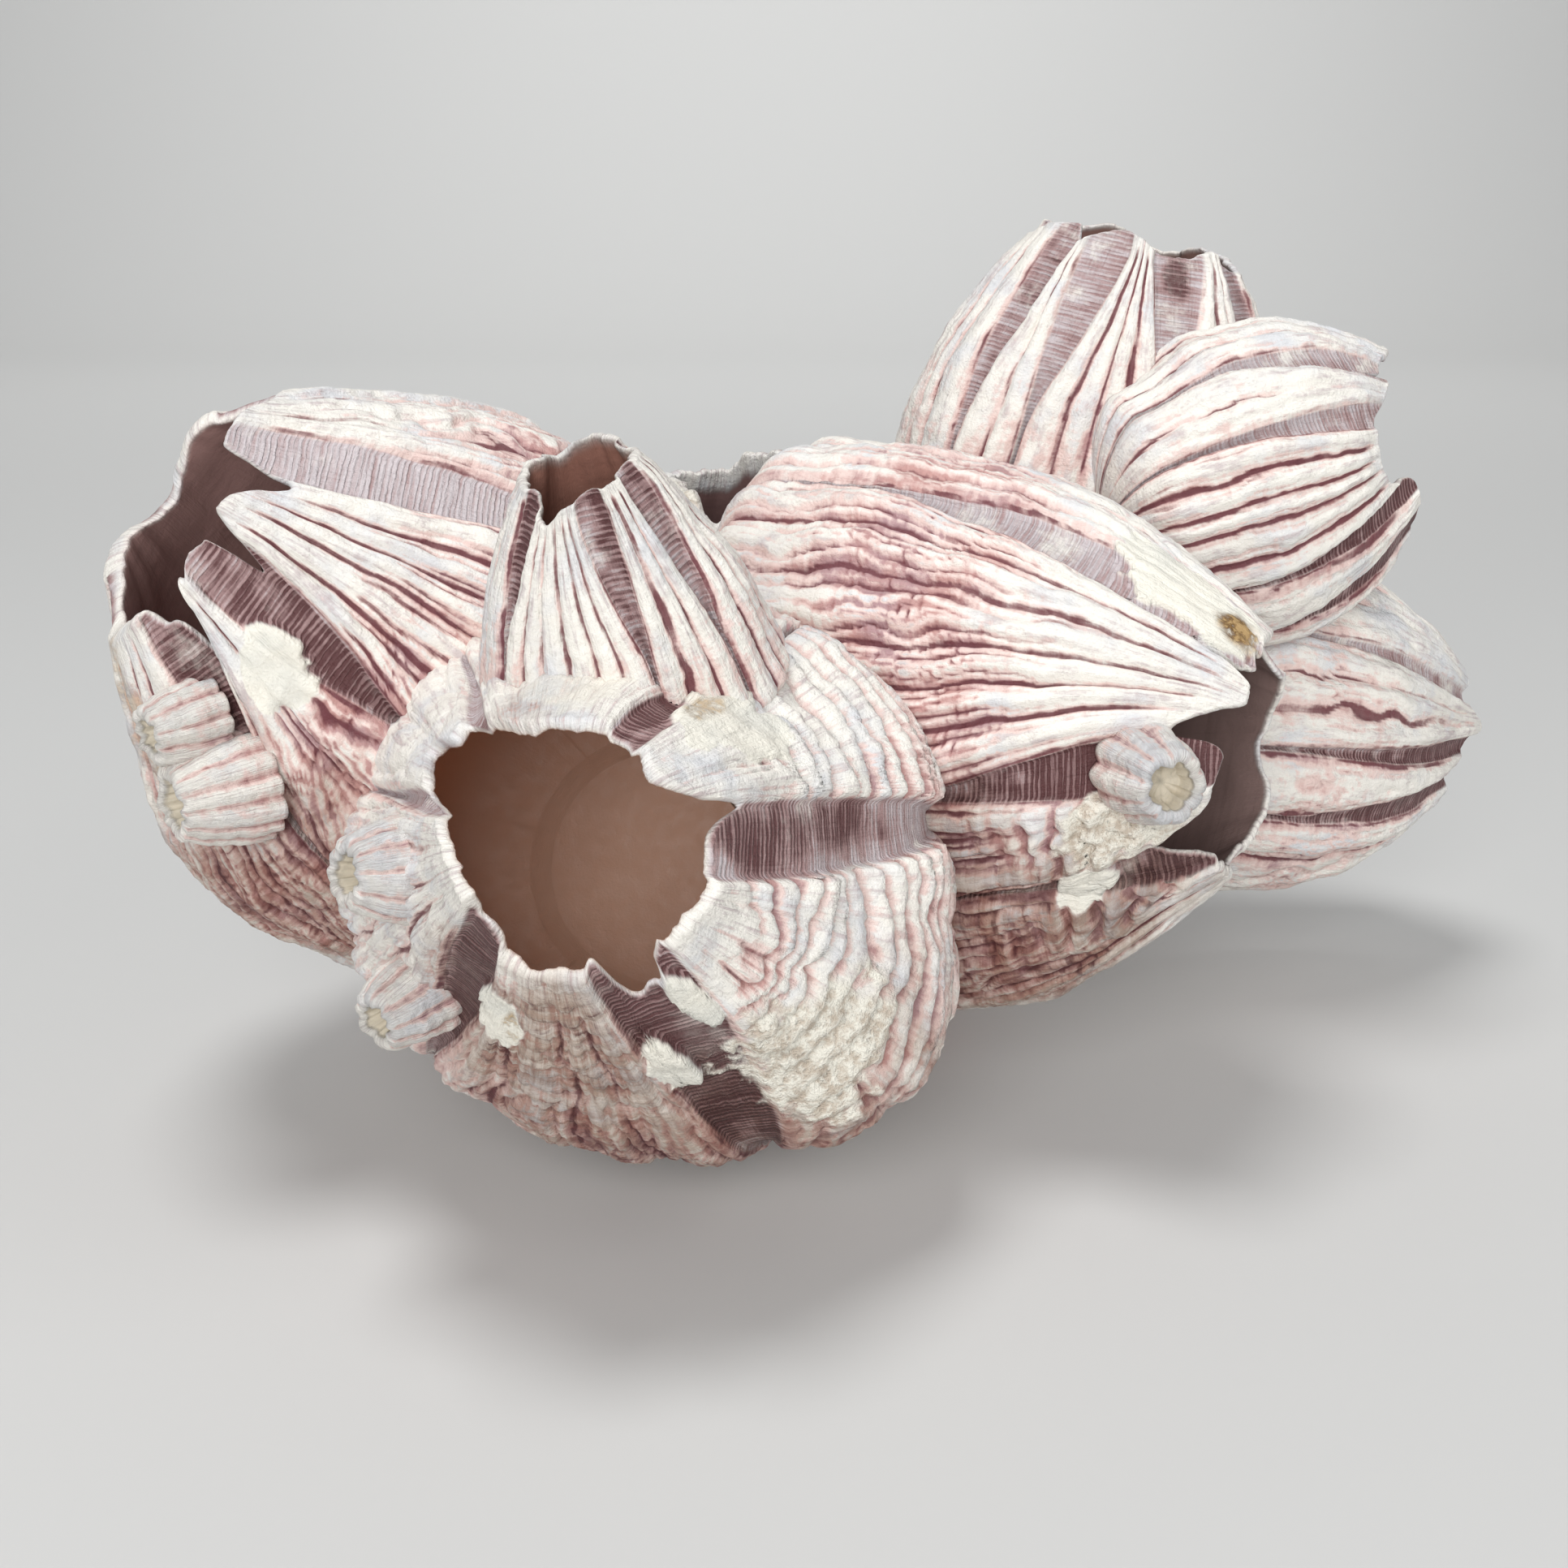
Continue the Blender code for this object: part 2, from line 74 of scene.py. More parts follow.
SHELLS = {
    "back": {
        "foot": (0, 0, 0), "tip": (2.5, 4, 62), "zero": (0, -1, 0),
        "profile": ((0, 26.5), (20, 28.5), (45, 19.5), (62, 11)), "squash": (1.0, 1.05),
        "lobes": ((-60, 0), (0, 0), (60, 0), (110, 4), (150, 5), (200, 3), (250, 2)), "dome": 0,
        "floor": 34,
        "rim": ((-80, 63.5), (-40, 62.5), (-15, 61), (-5, 58.5), (8, 60.5), (22, 62), (45, 64),
            (90, 65.6), (120, 65.8), (150, 65.4), (165, 65), (174, 64), (183, 63.2), (200, 62.8),
            (225, 62.3)),
        "plates": ((-30, 14, -38, 20, 4), (34, 68, 28, 78, 3), (92, 128, 86, 138, 3),
            (150, 190, 144, 200, 3), (214, 250, 208, 260, 3), (274, 312, 268, 318, 3)),
        "rose_and_groove_shade": (0.6, 0.7, 0.8, 0.7, 0.8, 0.6), "strips": (0.3, 0.5, 0.6, 0.4, 0.6, 0.3),
        "fine": (90, 280), "grid": (344, 88), "pinch": (0.35, 0.35, 0.35, 0.35, 0.35, 0.35),
        "lip": ((0, 2.8),), "jag": 0.8, "white": 1.8,
        "zones": {
            "pink": ((180, 15, 200, 22, 0.7),),
            "white": ((150, 50, 40, 8, 0.7),),
            "crust": ((222, 16, 22, 8, 0.75), (205, 24, 9, 5, 0.7), (120, 8, 25, 5, 0.8),
                (10, 62.5, 60, 3, 0.8)),
        },
        "inside": (0.08, 0.046, 0.043),
    },
    "front": {
        "foot": (2, -14, 21), "tip": (-7, -77.5, 44.4),
        "profile": ((0, 19), (20, 26), (37, 26.6), (53, 19.4), (68, 11.6)), "squash": (1.06, 1.05),
        "lobes": ((-130, 3.5), (-90, -2), (0, -1), (90, 1), (180, 0)), "dome": 8, "floor": 24,
        "rim": ((-72, 65), (-68, 69), (-20, 70), (0, 71), (25, 69.5), (40, 66), (50, 61.5), (55, 62.5),
            (62, 59), (68, 63.5), (74, 64), (80, 70), (90, 72.5), (110, 74.5), (124, 75), (132, 72),
            (140, 72), (156, 70), (195, 70), (198, 66), (212, 65), (220, 67.5), (236, 69.5),
            (258, 68.5), (283, 67)),
        "plates": ((-18, 40, -28, 40, 4), (50, 72, 48, 76, 2), (80, 128, 80, 128, 4),
            (150, 191, 140, 192, 4), (226, 260, 216, 278, 4), (289, 325, 287, 328, 3)),
        "rose_and_groove_shade": (0.15, 0.2, 0.6, 0.65, 0.5, 0.35), "strips": (0.15, 0.2, 0.75, 0.8, 0.22, 0.55),
        "fine": (-120, 240), "grid": (572, 152), "pinch": (0.7, 0.72, 0.62, 0.5, 0.42, 0.72),
        "lip": ((0, 1.5),), "jag": 0.3, "even": 10.0,
        "zones": {
            "white": ((10, 56, 50, 9, 0.7), (-48, 53, 22, 9, 0.8), (-106, 50, 24, 9, 0.5),
                (-88, 50, 9, 4, 0.8), (60, 52, 16, 16, 0.7), (104, 52, 26, 12, 0.4)),
            "pink": ((18, 67, 18, 2.4, 0.9), (-126, 62, 13, 6, 0.6), (158, 68, 8, 2, 0.9),
                (-90, 38, 60, 9, 0.9), (200, 38, 60, 10, 0.6)),
            "film_and_shade": ((14, 67, 22, 3, 0.5), (170, 55, 30, 18, 1.0), (138, 60, 14, 13, 0.7),
                (200, 44, 45, 12, 0.9)),
            "dark": ((45, 66, 5, 4, 0.4), (-24, 63, 5, 6, 0.9), (-83, 63, 10, 5, 0.55),
                (-80, 52, 6, 5, 0.4), (136, 66, 4, 6, 1.0), (140, 57, 7, 7, 0.7), (120, 66, 4, 5, 0.4),
                (203, 54, 12, 10, 0.7)),
            "cover": ((-46, 62, 14, 6, 1.0), (4, 66, 20, 4, 0.5), (152, 61, 8, 4, 0.9),
                (199, 56, 6, 3.6, 0.9), (217, 63, 6, 3.2, 0.9)),
            "stain": ((-37, 63, 4, 2.5, 0.7), (157, 61, 2.5, 2, 0.9)),
            "wrinkle": ((-55, 46, 28, 14, 1.0), (-104, 48, 34, 17, 1.0), (170, 58, 22, 12, 0.25)),
            "crust": ((228, 51, 18, 7, 0.9),),
        },
        "inside": (0.62, 0.395, 0.28),
    },
    "right": {
        "foot": (13.5, -15.2, 40.3), "tip": (53.9, -39, 42),
        "profile": ((0, 28), (15, 26.8), (32, 21.5), (47, 11.8)), "squash": (0.85, 0.97),
        "lobes": ((-100, 0), (0, 0), (100, 0), (180, 4)), "dome": 11, "floor": 15,
        "rim": ((-15, 47.5), (0, 48), (20, 48), (30, 47), (33, 44), (37, 47), (43, 48.5), (55, 48),
            (60, 46), (68, 43), (74, 46), (97, 46.5), (108, 45.5), (118, 41.5), (132, 43), (147, 45.8),
            (165, 46), (190, 44), (230, 46), (255, 44), (300, 47), (325, 45)),
        "plates": ((-35, 8, -42, 14, 3), (34, 67, 27, 94, 6), (96, 116, 97, 121, 3),
            (148, 178, 124, 190, 5), (205, 240, 200, 250, 3), (265, 300, 258, 308, 3)),
        "rose_and_groove_shade": (0.45, 0.75, 0.8, 0.8, 0.7, 0.6), "strips": (0.12, 0.85, 0.75, 0.5, 0.5, 0.4),
        "fine": (-40, 200), "grid": (588, 146), "pinch": (0.3, 0.5, 0.72, 0.5, 0.5, 0.5),
        "lip": ((0, 1.4),), "even": 5.0, "wander": 0.7,
        "zones": {
            "cover": ((14, 41.5, 17, 6, 1.0), (126, 36, 6.5, 2.6, 0.9)),
            "stain": ((15, 46.2, 8, 1.8, 1.0),),
            "wrinkle": ((106, 36, 12, 8, 0.8), (137, 38, 14, 8, 0.8)),
            "film_and_shade": ((142, 28, 36, 17, 1.0), (108, 24, 18, 9, 0.7)),
            "white": ((-14, 34, 22, 9, 0.6), (46, 37, 18, 13, 0.6)),
            "pink": ((60, 20, 45, 9, 0.9), (142, 26, 16, 8, 1.0), (110, 24, 20, 8, 0.7),
                (10, 18, 40, 8, 0.7)),
            "net": ((70, 20, 40, 10, 1.0), (140, 22, 40, 12, 0.8)),
            "dark": ((86, 40, 11, 8, 0.9),),
            "crust": ((106, 40, 11, 6, 0.9),),
        },
        "inside": (0.115, 0.077, 0.07),
    },
    "left": {
        "foot": (-16.3, -14, 34), "tip": (-44.3, -41.7, 64.4),
        "profile": ((0, 26.4), (18, 26.4), (34, 22.8), (50, 14)), "squash": (1.05, 0.82),
        "lobes": ((-90, 0), (0, 1), (60, 0), (140, 5), (200, 2)), "dome": 11, "floor": 14,
        "rim": ((-195, 50), (-170, 51.5), (-164, 52), (-155, 50), (-148, 49.5), (-138, 46.5),
            (-136, 51), (-130, 52.3), (-110, 52.5), (-103, 47.5), (-98, 51.5), (-90, 53.5), (-75, 52),
            (-66, 49), (-60, 51), (-50, 54.5), (-30, 54), (-15, 51), (10, 49), (40, 51), (80, 48),
            (120, 51)),
        "plates": ((-38, -5, -45, 5, 3), (30, 70, 20, 82, 3), (100, 135, 92, 145, 3),
            (164, 198, 155, 208, 4), (222, 232, 210, 242, 2), (261, 297, 247, 302, 5)),
        "rose_and_groove_shade": (0.4, 0.6, 0.7, 0.7, 0.7, 0.9), "strips": (0.4, 0.5, 0.5, 0.8, 0.62, 0.0),
        "fine": (-200, 20), "grid": (548, 136), "pinch": (0.6, 0.6, 0.6, 0.72, 0.66, 0.4),
        "lip": ((-150, 1.5), (-60, 1.5), (20, 2.2), (80, 3.2), (165, 3.2)), "wander": 0.8,
        "detail": 0.95,
        "zones": {
            "cover": ((-127, 43, 10, 3.4, 1.0),),
            "net": ((-115, 37, 34, 5, 1.0), (-165, 26, 28, 10, 0.8)),
            "film_and_shade": ((-168, 26, 36, 15, 0.9), (-150, 44, 9, 8, 0.3)),
            "dark": ((-142, 36.5, 6, 3, 0.8), (-115, 38, 3, 4, 0.8)),
            "pink": ((-118, 36, 34, 6, 1.0), (-165, 26, 28, 10, 0.8), (-40, 30, 30, 7, 0.7)),
            "white": ((-20, 46, 18, 6, 0.6), (-80, 44, 20, 8, 0.3)),
            "stain": ((-186, 44, 10, 6, 0.5),),
        },
        "inside": (0.19, 0.115, 0.105),
    },
    "far_right": {
        "foot": (38, 2.5, 34), "tip": (91.4, 22, 29.8),
        "profile": ((0, 14), (27, 20.2), (41, 18.4), (57, 9.8)), "squash": (0.96, 0.95), "dome": 6,
        "floor": 24,
        "rim": ((0, 54), (40, 55.5), (50, 55.5), (62, 54), (70, 54.5), (77, 56.5), (85, 57.5), (90, 56),
            (97, 54.5), (104, 53), (109, 51), (125, 53), (150, 55), (175, 53), (210, 55.5), (245, 53),
            (280, 55.5), (310, 53)),
        "plates": ((22, 58, 14, 42, 3), (69, 90, 48, 82, 3), (102, 108, 90, 104, 1),
            (126, 160, 122, 170, 3), (190, 230, 185, 240, 3), (260, 300, 255, 310, 3)),
        "rose_and_groove_shade": (0.2, 0.35, 0.4, 0.5, 0.6, 0.5), "strips": (0.3, 0.85, 0.95, 0.5, 0.5, 0.4),
        "fine": (0, 190), "grid": (350, 104), "pinch": (0.45, 0.4, 0.42, 0.5, 0.5, 0.45), "splits": 0.7,
        "wander": 0.9, "detail": 0.85,
        "zones": {
            "white": ((45, 45, 22, 12, 0.7),),
            "pink": ((70, 30, 40, 7, 0.4), (130, 30, 30, 8, 0.6)),
        },
        "inside": (0.1, 0.06, 0.05),
    },
    "upper": {
        "foot": (41, 16, 43), "tip": (49, 11.5, 87.6), "zero": (0, -1, 0),
        "profile": ((0, 20), (17, 21.5), (31, 19.2), (45, 12.2)), "squash": (0.98, 1.03), "dome": 9,
        "floor": 16,
        "rim": ((-90, 45), (-68, 47), (-55, 47.5), (-44, 45.8), (-37, 46.8), (-15, 47.8), (-4, 47.2),
            (8, 46), (25, 46), (40, 47.2), (55, 46), (75, 45), (120, 46.5), (155, 45), (190, 47),
            (220, 45.5), (245, 46.5)),
        "plates": ((-44, -38, -53, -33, 2), (-12, 2, -30, 4, 4), (34, 46, 20, 60, 3),
            (72, 110, 66, 120, 3), (140, 180, 132, 190, 3), (205, 245, 198, 260, 3),
            (268, 296, 266, 305, 3)),
        "rose_and_groove_shade": (0.6, 0.8, 0.6, 0.6, 0.6, 0.6, 0.6), "strips": (0.22, 0.2, 0.3, 0.35, 0.45, 0.35, 0.4),
        "fine": (-100, 100), "grid": (420, 110), "pinch": (0.62, 0.66, 0.4, 0.5, 0.45, 0.4, 0.55),
        "splits": 0.35, "even": 2.5, "wander": 0.7, "detail": 0.95,
        "zones": {
            "dark": ((18, 44, 7, 2, 0.7),),
            "pink": ((0, 24, 110, 7, 0.6),),
            "white": ((40, 38, 14, 8, 0.6), (-30, 34, 20, 12, 0.4)),
        },
        "inside": (0.11, 0.062, 0.052),
    },
    "upper_right": {
        "foot": (49, -5, 59), "tip": (77.5, 1, 67.6),
        "profile": ((0, 14.5), (11, 17.4), (20, 16), (30, 10.6)), "squash": (0.95, 0.7), "dome": 6,
        "floor": 8,
        "rim": ((5, 30.5), (15, 29.5), (25, 27.5), (33, 26.5), (36, 24.5), (38, 27.5), (45, 27),
            (55, 25), (70, 23), (98, 23.5), (105, 26), (115, 27.5), (128, 28), (150, 28.5), (180, 27),
            (215, 29), (250, 27), (290, 29), (330, 28)),
        "plates": ((0, 24, -8, 22, 3), (44, 54, 30, 52, 2), (73, 103, 60, 118, 5),
            (121, 130, 124, 148, 1), (160, 200, 156, 210, 3), (230, 270, 225, 280, 2),
            (295, 335, 290, 342, 2)),
        "rose_and_groove_shade": (0.5, 0.3, 0.95, 0.6, 0.7, 0.6, 0.5), "strips": (0.25, 0.28, 1.0, 0.9, 0.5, 0.4, 0.3),
        "fine": (-20, 200), "grid": (420, 84), "pinch": (0.2, 0.15, 0.25, 0.3, 0.3, 0.3, 0.3),
        "lip": ((0, 1.1),), "splits": 0.7, "even": 2.5, "wander": 0.8, "detail": 0.75,
        "zones": {
            "white": ((48, 20, 8, 9, 0.8), (15, 22, 14, 8, 0.5)),
            "stain": ((104, 26, 5, 1.4, 0.5),),
        },
        "inside": (0.1, 0.06, 0.05),
    },
    "on_front": {
        "foot": (-3.8, -57, 53), "tip": (-6.9, -64, 70.4), "zero": (0, -1, 0),
        "profile": ((0, 12.3), (9, 9.9), (19, 5.4)), "squash": (1.07, 1.08), "dome": 4, "floor": 6,
        "rim": ((-70, 20.2), (-50, 19.6), (-34, 18.3), (-20, 19.4), (-5, 19.8), (12, 20.2), (28, 20.4),
            (45, 20.6), (80, 21), (110, 20.6), (150, 21.2), (180, 21), (205, 19.6), (222, 20.4),
            (240, 20.8), (262, 20.2)),
        "plates": ((-45, -6, -56, 16, 6), (22, 46, 18, 52, 3), (72, 110, 56, 118, 5),
            (130, 165, 122, 175, 2), (185, 225, 178, 232, 2), (240, 292, 236, 300, 3)),
        "rose_and_groove_shade": (0.55, 0.5, 0.6, 0.5, 0.5, 0.6), "strips": (0.7, 0.5, 0.5, 0.4, 0.4, 0.85),
        "fine": (-110, 120), "grid": (456, 92), "pinch": (0.42, 0.4, 0.4, 0.3, 0.3, 0.45),
        "lip": ((0, 0.9),), "jag": 0.15, "splits": 0.2, "even": 1.5, "wander": 0.35, "detail": 0.56,
        "zones": {
            "white": ((-20, 12, 26, 7, 0.5),),
            "pink": ((0, 1, 200, 7, 1.0),),
        },
        "inside": (0.125, 0.06, 0.045),
    },
}

# Which older shells end each younger one
OLDER = {
    "front": ("back",),
    "right": ("back", "front"),
    "left": ("back", "front", "right"),
    "far_right": ("back", "right"),
    "upper": ("back", "right", "far_right"),
    "upper_right": ("right", "upper", "far_right"),
    "on_front": ("front", "left", "right"),
}

# Each small barnacle: the shell it grows on, its angle and height there, the lean of its axis
# towards the carrier's tip and round the carrier, its ribs, its foot radius, its height and its
# rim radius in millimetres
SMALL = (
    ("right", 88, 41.5, 0.25, 0, 10, 4.3, 5.6, 2.1),
    ("left", -156, 37.6, 0.42, -0.45, 13, 4.9, 6.6, 2.1),
    ("left", -158, 43.5, 0.3, -0.45, 10, 3.5, 4.7, 1.6),
    ("front", 98, 61, 0.35, 0, 11, 4.2, 5.0, 1.7),
    ("front", 127, 52, 0.25, 0, 10, 3.7, 4.8, 1.6),
)
SMALL_INSIDE = (0.26, 0.235, 0.19)
SMALL_TOP = 5  # the height that their cups' colour counts as the rim's, where the painted light on the wall is palest
SMALL_SUNK = 1.6  # how far their foot reaches into the carrier
SMALL_FLOOR = 0.55  # the height of their cup's floor as a share of theirs

# Relief, in millimetres
RIB = 1.15  # from the bottom of a groove to the top of a rib
SUB_RIB = 0.6  # of the finer ribs that start between the ribs lower down
THIRD_RIB = 0.3  # of the finest ribs
LEDGE = 0.2  # of the steps between growth lines
STRIP = 1.0  # how far the strips lie below the plates
STRIP_END = 1.2  # width in degrees of what is left of a strip at the foot
RIM_WALL = 1.35  # thickness of the wall at the rim
FOOT_WALL = 4.0  # and at the cup's floor
WRINKLE = 1.9  # of the concentric growth folds
CRUST = 0.3  # thickness of the chalky crust
COVER = 0.25  # thickness of the pale covers
HEAVE = 0.8  # of the swellings of the whole wall
GRAIN = 0.07  # of the finest roughness

# Sizes in millimetres
WANDER_SIZE = 7  # of the bends of the ribs
QUIVER_SIZE = 1.8  # of their smaller bends
HEAVE_SIZE = 11
GRAIN_SIZE = 0.9
LEDGE_STEP = 0.95  # from one growth line to the next
FOLD_STEP = 2.3  # from one growth fold to the next
STRIA = 0.46  # from one fine growth line of a strip to the next
# The widths of a rib at which finer and finer ribs appear: from none to all
SUB_WIDTHS = (2.0, 3.4)
THIRD_WIDTHS = (3.6, 5.6)
FOURTH_WIDTHS = (5.5, 8.0)

RIB_SHARP = 2.6  # how narrow the grooves are beside the ribs
RIB_MIDDLE = 0.62  # the part of a rib that lies over the smooth form
CALM = 0.92  # how much the folds take from the ribs
EVEN = 0.82  # how much the ribs lose at the rim
EDGE = 0.35  # half the width of the step from a strip to a plate
LIP = 0.35  # how far the lip rises over the wall
LIP_DRAW = 0.25  # how far the wall draws in under the lip
CORNER = 5.0  # height over which a cup closes to its floor
FLOOR_SAG = 0.6  # how far the middle of a cup's floor lies below its edge
FAN_SOFT = 0.015  # how gently the strips start to widen
BURIED = 2.0  # how deep a point must lie in an older shell to be left away
BURIED_SHARE = 0.65  # the same as a share of the wall, where that is less
BACK_SHARE = 0.6  # how close the grid is outside the fine range
STRIP_SHARE = 0.6  # and on strips

COARSE = 1.0


def smooth(low, high, x):
    """0 below low, 1 above high, and a smooth step between."""
    t = np.clip((x - low) / (high - low), 0, 1)
    return t * t * (3 - 2 * t)


def curve_through(knots, x, period=0.0):
    """The smooth curve through (x, y) knots, read at x. It repeats after period, if there is one."""
    knots = sorted(knots)
    xs = np.array([knot[0] for knot in knots], float)
    ys = np.array([knot[1] for knot in knots], float)
    x = np.asarray(x, float)
    if period:
        x = xs[0] + (x - xs[0]) % period
        xs = np.concatenate([xs - period, xs, xs + period])
        ys = np.tile(ys, 3)
    slopes = np.diff(ys) / np.diff(xs)
    tangents = np.concatenate([slopes[:1], (slopes[:-1] + slopes[1:]) / 2, slopes[-1:]])
    tangents[1:-1][slopes[:-1] * slopes[1:] <= 0] = 0
    i = np.clip(np.searchsorted(xs, x, side="right") - 1, 0, len(xs) - 2)
    width = xs[i + 1] - xs[i]
    t = np.maximum((x - xs[i]) / width, 0)
    near = ys[i] * (1 + 2 * t) * (1 - t) ** 2 + ys[i + 1] * t * t * (3 - 2 * t)
    near = near + width * (tangents[i] * t * (1 - t) ** 2 + tangents[i + 1] * t * t * (t - 1))
    beyond = ys[i + 1] + (x - xs[i + 1]) * tangents[i + 1]
    return np.where(t > 1, beyond, near)


GRADIENTS = np.random.RandomState(11).normal(size=(256, 3))
GRADIENTS /= np.linalg.norm(GRADIENTS, axis=1, keepdims=True)
SHUFFLE = np.random.RandomState(12).permutation(256)


def noise(x, y, z=0.0):
    """Gradient noise of about -0.7 to 0.7, with features one unit wide."""
    x, y, z = np.broadcast_arrays(np.asarray(x, float), y, z)
    cells = [np.floor(v).astype(np.int64) for v in (x, y, z)]
    parts = [v - cell for v, cell in zip((x, y, z), cells)]
    fades = [p * p * p * (p * (p * 6 - 15) + 10) for p in parts]
    total = np.zeros_like(x)
    for i in (0, 1):
        for j in (0, 1):
            for k in (0, 1):
                index = SHUFFLE[(cells[2] + k) & 255]
                index = SHUFFLE[(index + cells[1] + j) & 255]
                index = SHUFFLE[(index + cells[0] + i) & 255]
                slope = GRADIENTS[index]
                value = slope[..., 0] * (parts[0] - i) + slope[..., 1] * (parts[1] - j)
                value = value + slope[..., 2] * (parts[2] - k)
                for corner, fade in zip((i, j, k), fades):
                    value = value * (fade if corner else 1 - fade)
                total += value
    return total


def rough(x, y, z=0.0, octaves=3):
    """Several octaves of noise."""
    total = 0.0
    for octave in range(octaves):
        scale = 2.0 ** octave
        total = total + noise(x * scale, y * scale, z * scale + 7.3 * octave) / scale
    return total


def noise_at(points, size, shift, octaves=1):
    """Noise at points, with features of this size."""
    x, y, z = (points[..., k] / size for k in range(3))
    return rough(x, y, z + shift, octaves)


def noise_round(turn, detail, shift, octaves=1):
    """Noise that goes round a ring and meets itself."""
    return rough(np.cos(turn) * detail, np.sin(turn) * detail, shift, octaves)


class Shell:
    """The form of one barnacle, in arrays: a point from an angle, a height and a radius."""

    def __init__(self, name):
        self.name = name
        self.form = {**USUAL, **SHELLS[name]}
        self.seed = 31.7 * (1 + list(SHELLS).index(name))
        self.foot = np.array(self.form["foot"], float)
        axis = np.array(self.form["tip"], float) - self.foot
        self.height = np.linalg.norm(axis)
        self.up = axis / self.height
        zero = np.array(self.form["zero"], float)
        across = zero - self.up * zero.dot(self.up)
        self.across = across / np.linalg.norm(across)
        self.side = np.cross(self.up, self.across)
        plates = np.array(self.form["plates"], float)
        self.rims, self.ribs = plates[:, :2], plates[:, 4]
        ends = plates[:, 3]
        following = np.append(plates[1:, 2], plates[0, 2] + 360)
        middle = (ends + following) / 2
        gap = np.minimum(following - ends, STRIP_END)
        starts = np.roll(middle + gap / 2, 1)
        starts[0] -= 360
        self.feet = np.stack([starts, middle - gap / 2], -1)
        rims, feet = self.rims.ravel(), self.feet.ravel()
        self.rim_knots = np.concatenate([rims - 360, rims, rims + 360])
        self.foot_knots = np.concatenate([feet - 360, feet, feet + 360])
        pinch = np.array(self.form["pinch"])
        self.pinch_knots = np.tile(np.stack([np.roll(pinch, 1), pinch], -1).ravel(), 3)

    def radius(self, angle, height):
        share = np.clip(height / self.height, 0, 1)
        size = curve_through(self.form["profile"], np.maximum(height, 0))
        first, last = self.form["squash"]
        ratio = first * (1 - share) + last * share
        turn = np.radians(angle)
        size = size * ratio / np.hypot(ratio * np.cos(turn), np.sin(turn))
        if self.form["lobes"]:
            fade = np.minimum((1 - share) * 2.5, 1) * np.sin(math.pi * (0.15 + 0.7 * (1 - share)))
            size = size + curve_through(self.form["lobes"], angle, 360) * fade
        return size

    def rim(self, angle):
        return curve_through(self.form["rim"], angle, 360)

    def wall(self, height):
        floor = self.form["floor"]
        share = np.clip((height - floor) / (self.height - floor), 0, 1)
        return FOOT_WALL + (RIM_WALL - FOOT_WALL) * share

    def fan(self, rim_angle, height):
        """How far the plates' edges have moved from their places at the foot to those at the rim."""
        pinch = np.interp(rim_angle, self.rim_knots, self.pinch_knots)
        x = (height / self.height - pinch) / (1 - pinch)
        soft = x + np.sqrt(x * x + FAN_SOFT)
        return np.clip(soft / (1 + math.sqrt(1 + FAN_SOFT)), 0, 1)

    def angle_at(self, rim_angle, height):
        foot_angle = np.interp(rim_angle, self.rim_knots, self.foot_knots)
        return foot_angle + (rim_angle - foot_angle) * self.fan(rim_angle, height)

    def point(self, angle, height, radius):
        turn = np.radians(angle)[..., None]
        spoke = self.across * np.cos(turn) + self.side * np.sin(turn)
        return self.foot + self.up * height[..., None] + spoke * radius[..., None]

    def local(self, points):
        """The angle, height and radius of points."""
        offset = points - self.foot
        height = offset @ self.up
        right, out = offset @ self.side, offset @ self.across
        return np.degrees(np.arctan2(right, out)), height, np.hypot(right, out)

    def lowest(self, columns):
        """The height where each line starts: where it meets z = 0 under a flat foot, or else zero."""
        if self.form["dome"]:
            return np.zeros_like(columns)
        angle = np.interp(columns, self.rim_knots, self.foot_knots)
        turn = np.radians(angle)
        slant = self.across[2] * np.cos(turn) + self.side[2] * np.sin(turn)
        return -slant * self.radius(angle, np.zeros_like(angle)) / self.up[2]

    def inside(self, points):
        """Whether points lie in the shell's filled form, well under its outer face."""
        angle, height, reach = self.local(points)
        depth = np.minimum(BURIED, self.wall(height) * BURIED_SHARE)
        low = -0.8 * self.form["dome"]
        taper = np.where(height < 0, np.sqrt(np.clip(1 - (height / (low - 1e-6)) ** 2, 0, 1)), 1.0)
        within = reach < self.radius(angle, height) * taper - depth
        return within & (height > low) & (height < self.rim(angle) - 0.4)

    def columns(self):
        """The rim angles of the grid's lines, closest in the fine range."""
        first, last = self.form["fine"]
        angles = np.arange(first, first + 360, 0.25)
        number, strip, _ = self.plate_of(angles)
        rim_wide = (self.rims[:, 1] - self.rims[:, 0])[number]
        foot_wide = (self.feet[:, 1] - self.feet[:, 0])[number]
        weight = np.where(angles < last, 1.0, BACK_SHARE)
        weight = weight * np.where(strip, STRIP_SHARE, 0.5 + 0.5 * foot_wide / rim_wide)
        count = int(self.form["grid"][0] / COARSE)
        count -= count % 4
        total = np.concatenate([[0], np.cumsum(weight)])
        edges = np.append(angles, first + 360)
        return np.interp(np.arange(count) / count * total[-1], total, edges)

    def plate_of(self, angle):
        """For rim angles: the plate or strip's number, whether it is a strip, and the share across it."""
        starts = self.rims[:, 0]
        angle = starts[0] + (angle - starts[0]) % 360
        number = np.searchsorted(starts, angle, side="right") - 1
        first = starts[number]
        last = self.rims[number, 1]
        following = np.append(starts[1:], starts[0] + 360)[number]
        strip = angle > last
        share = np.where(strip, (angle - last) / (following - last), (angle - first) / (last - first))
        return number, strip, share


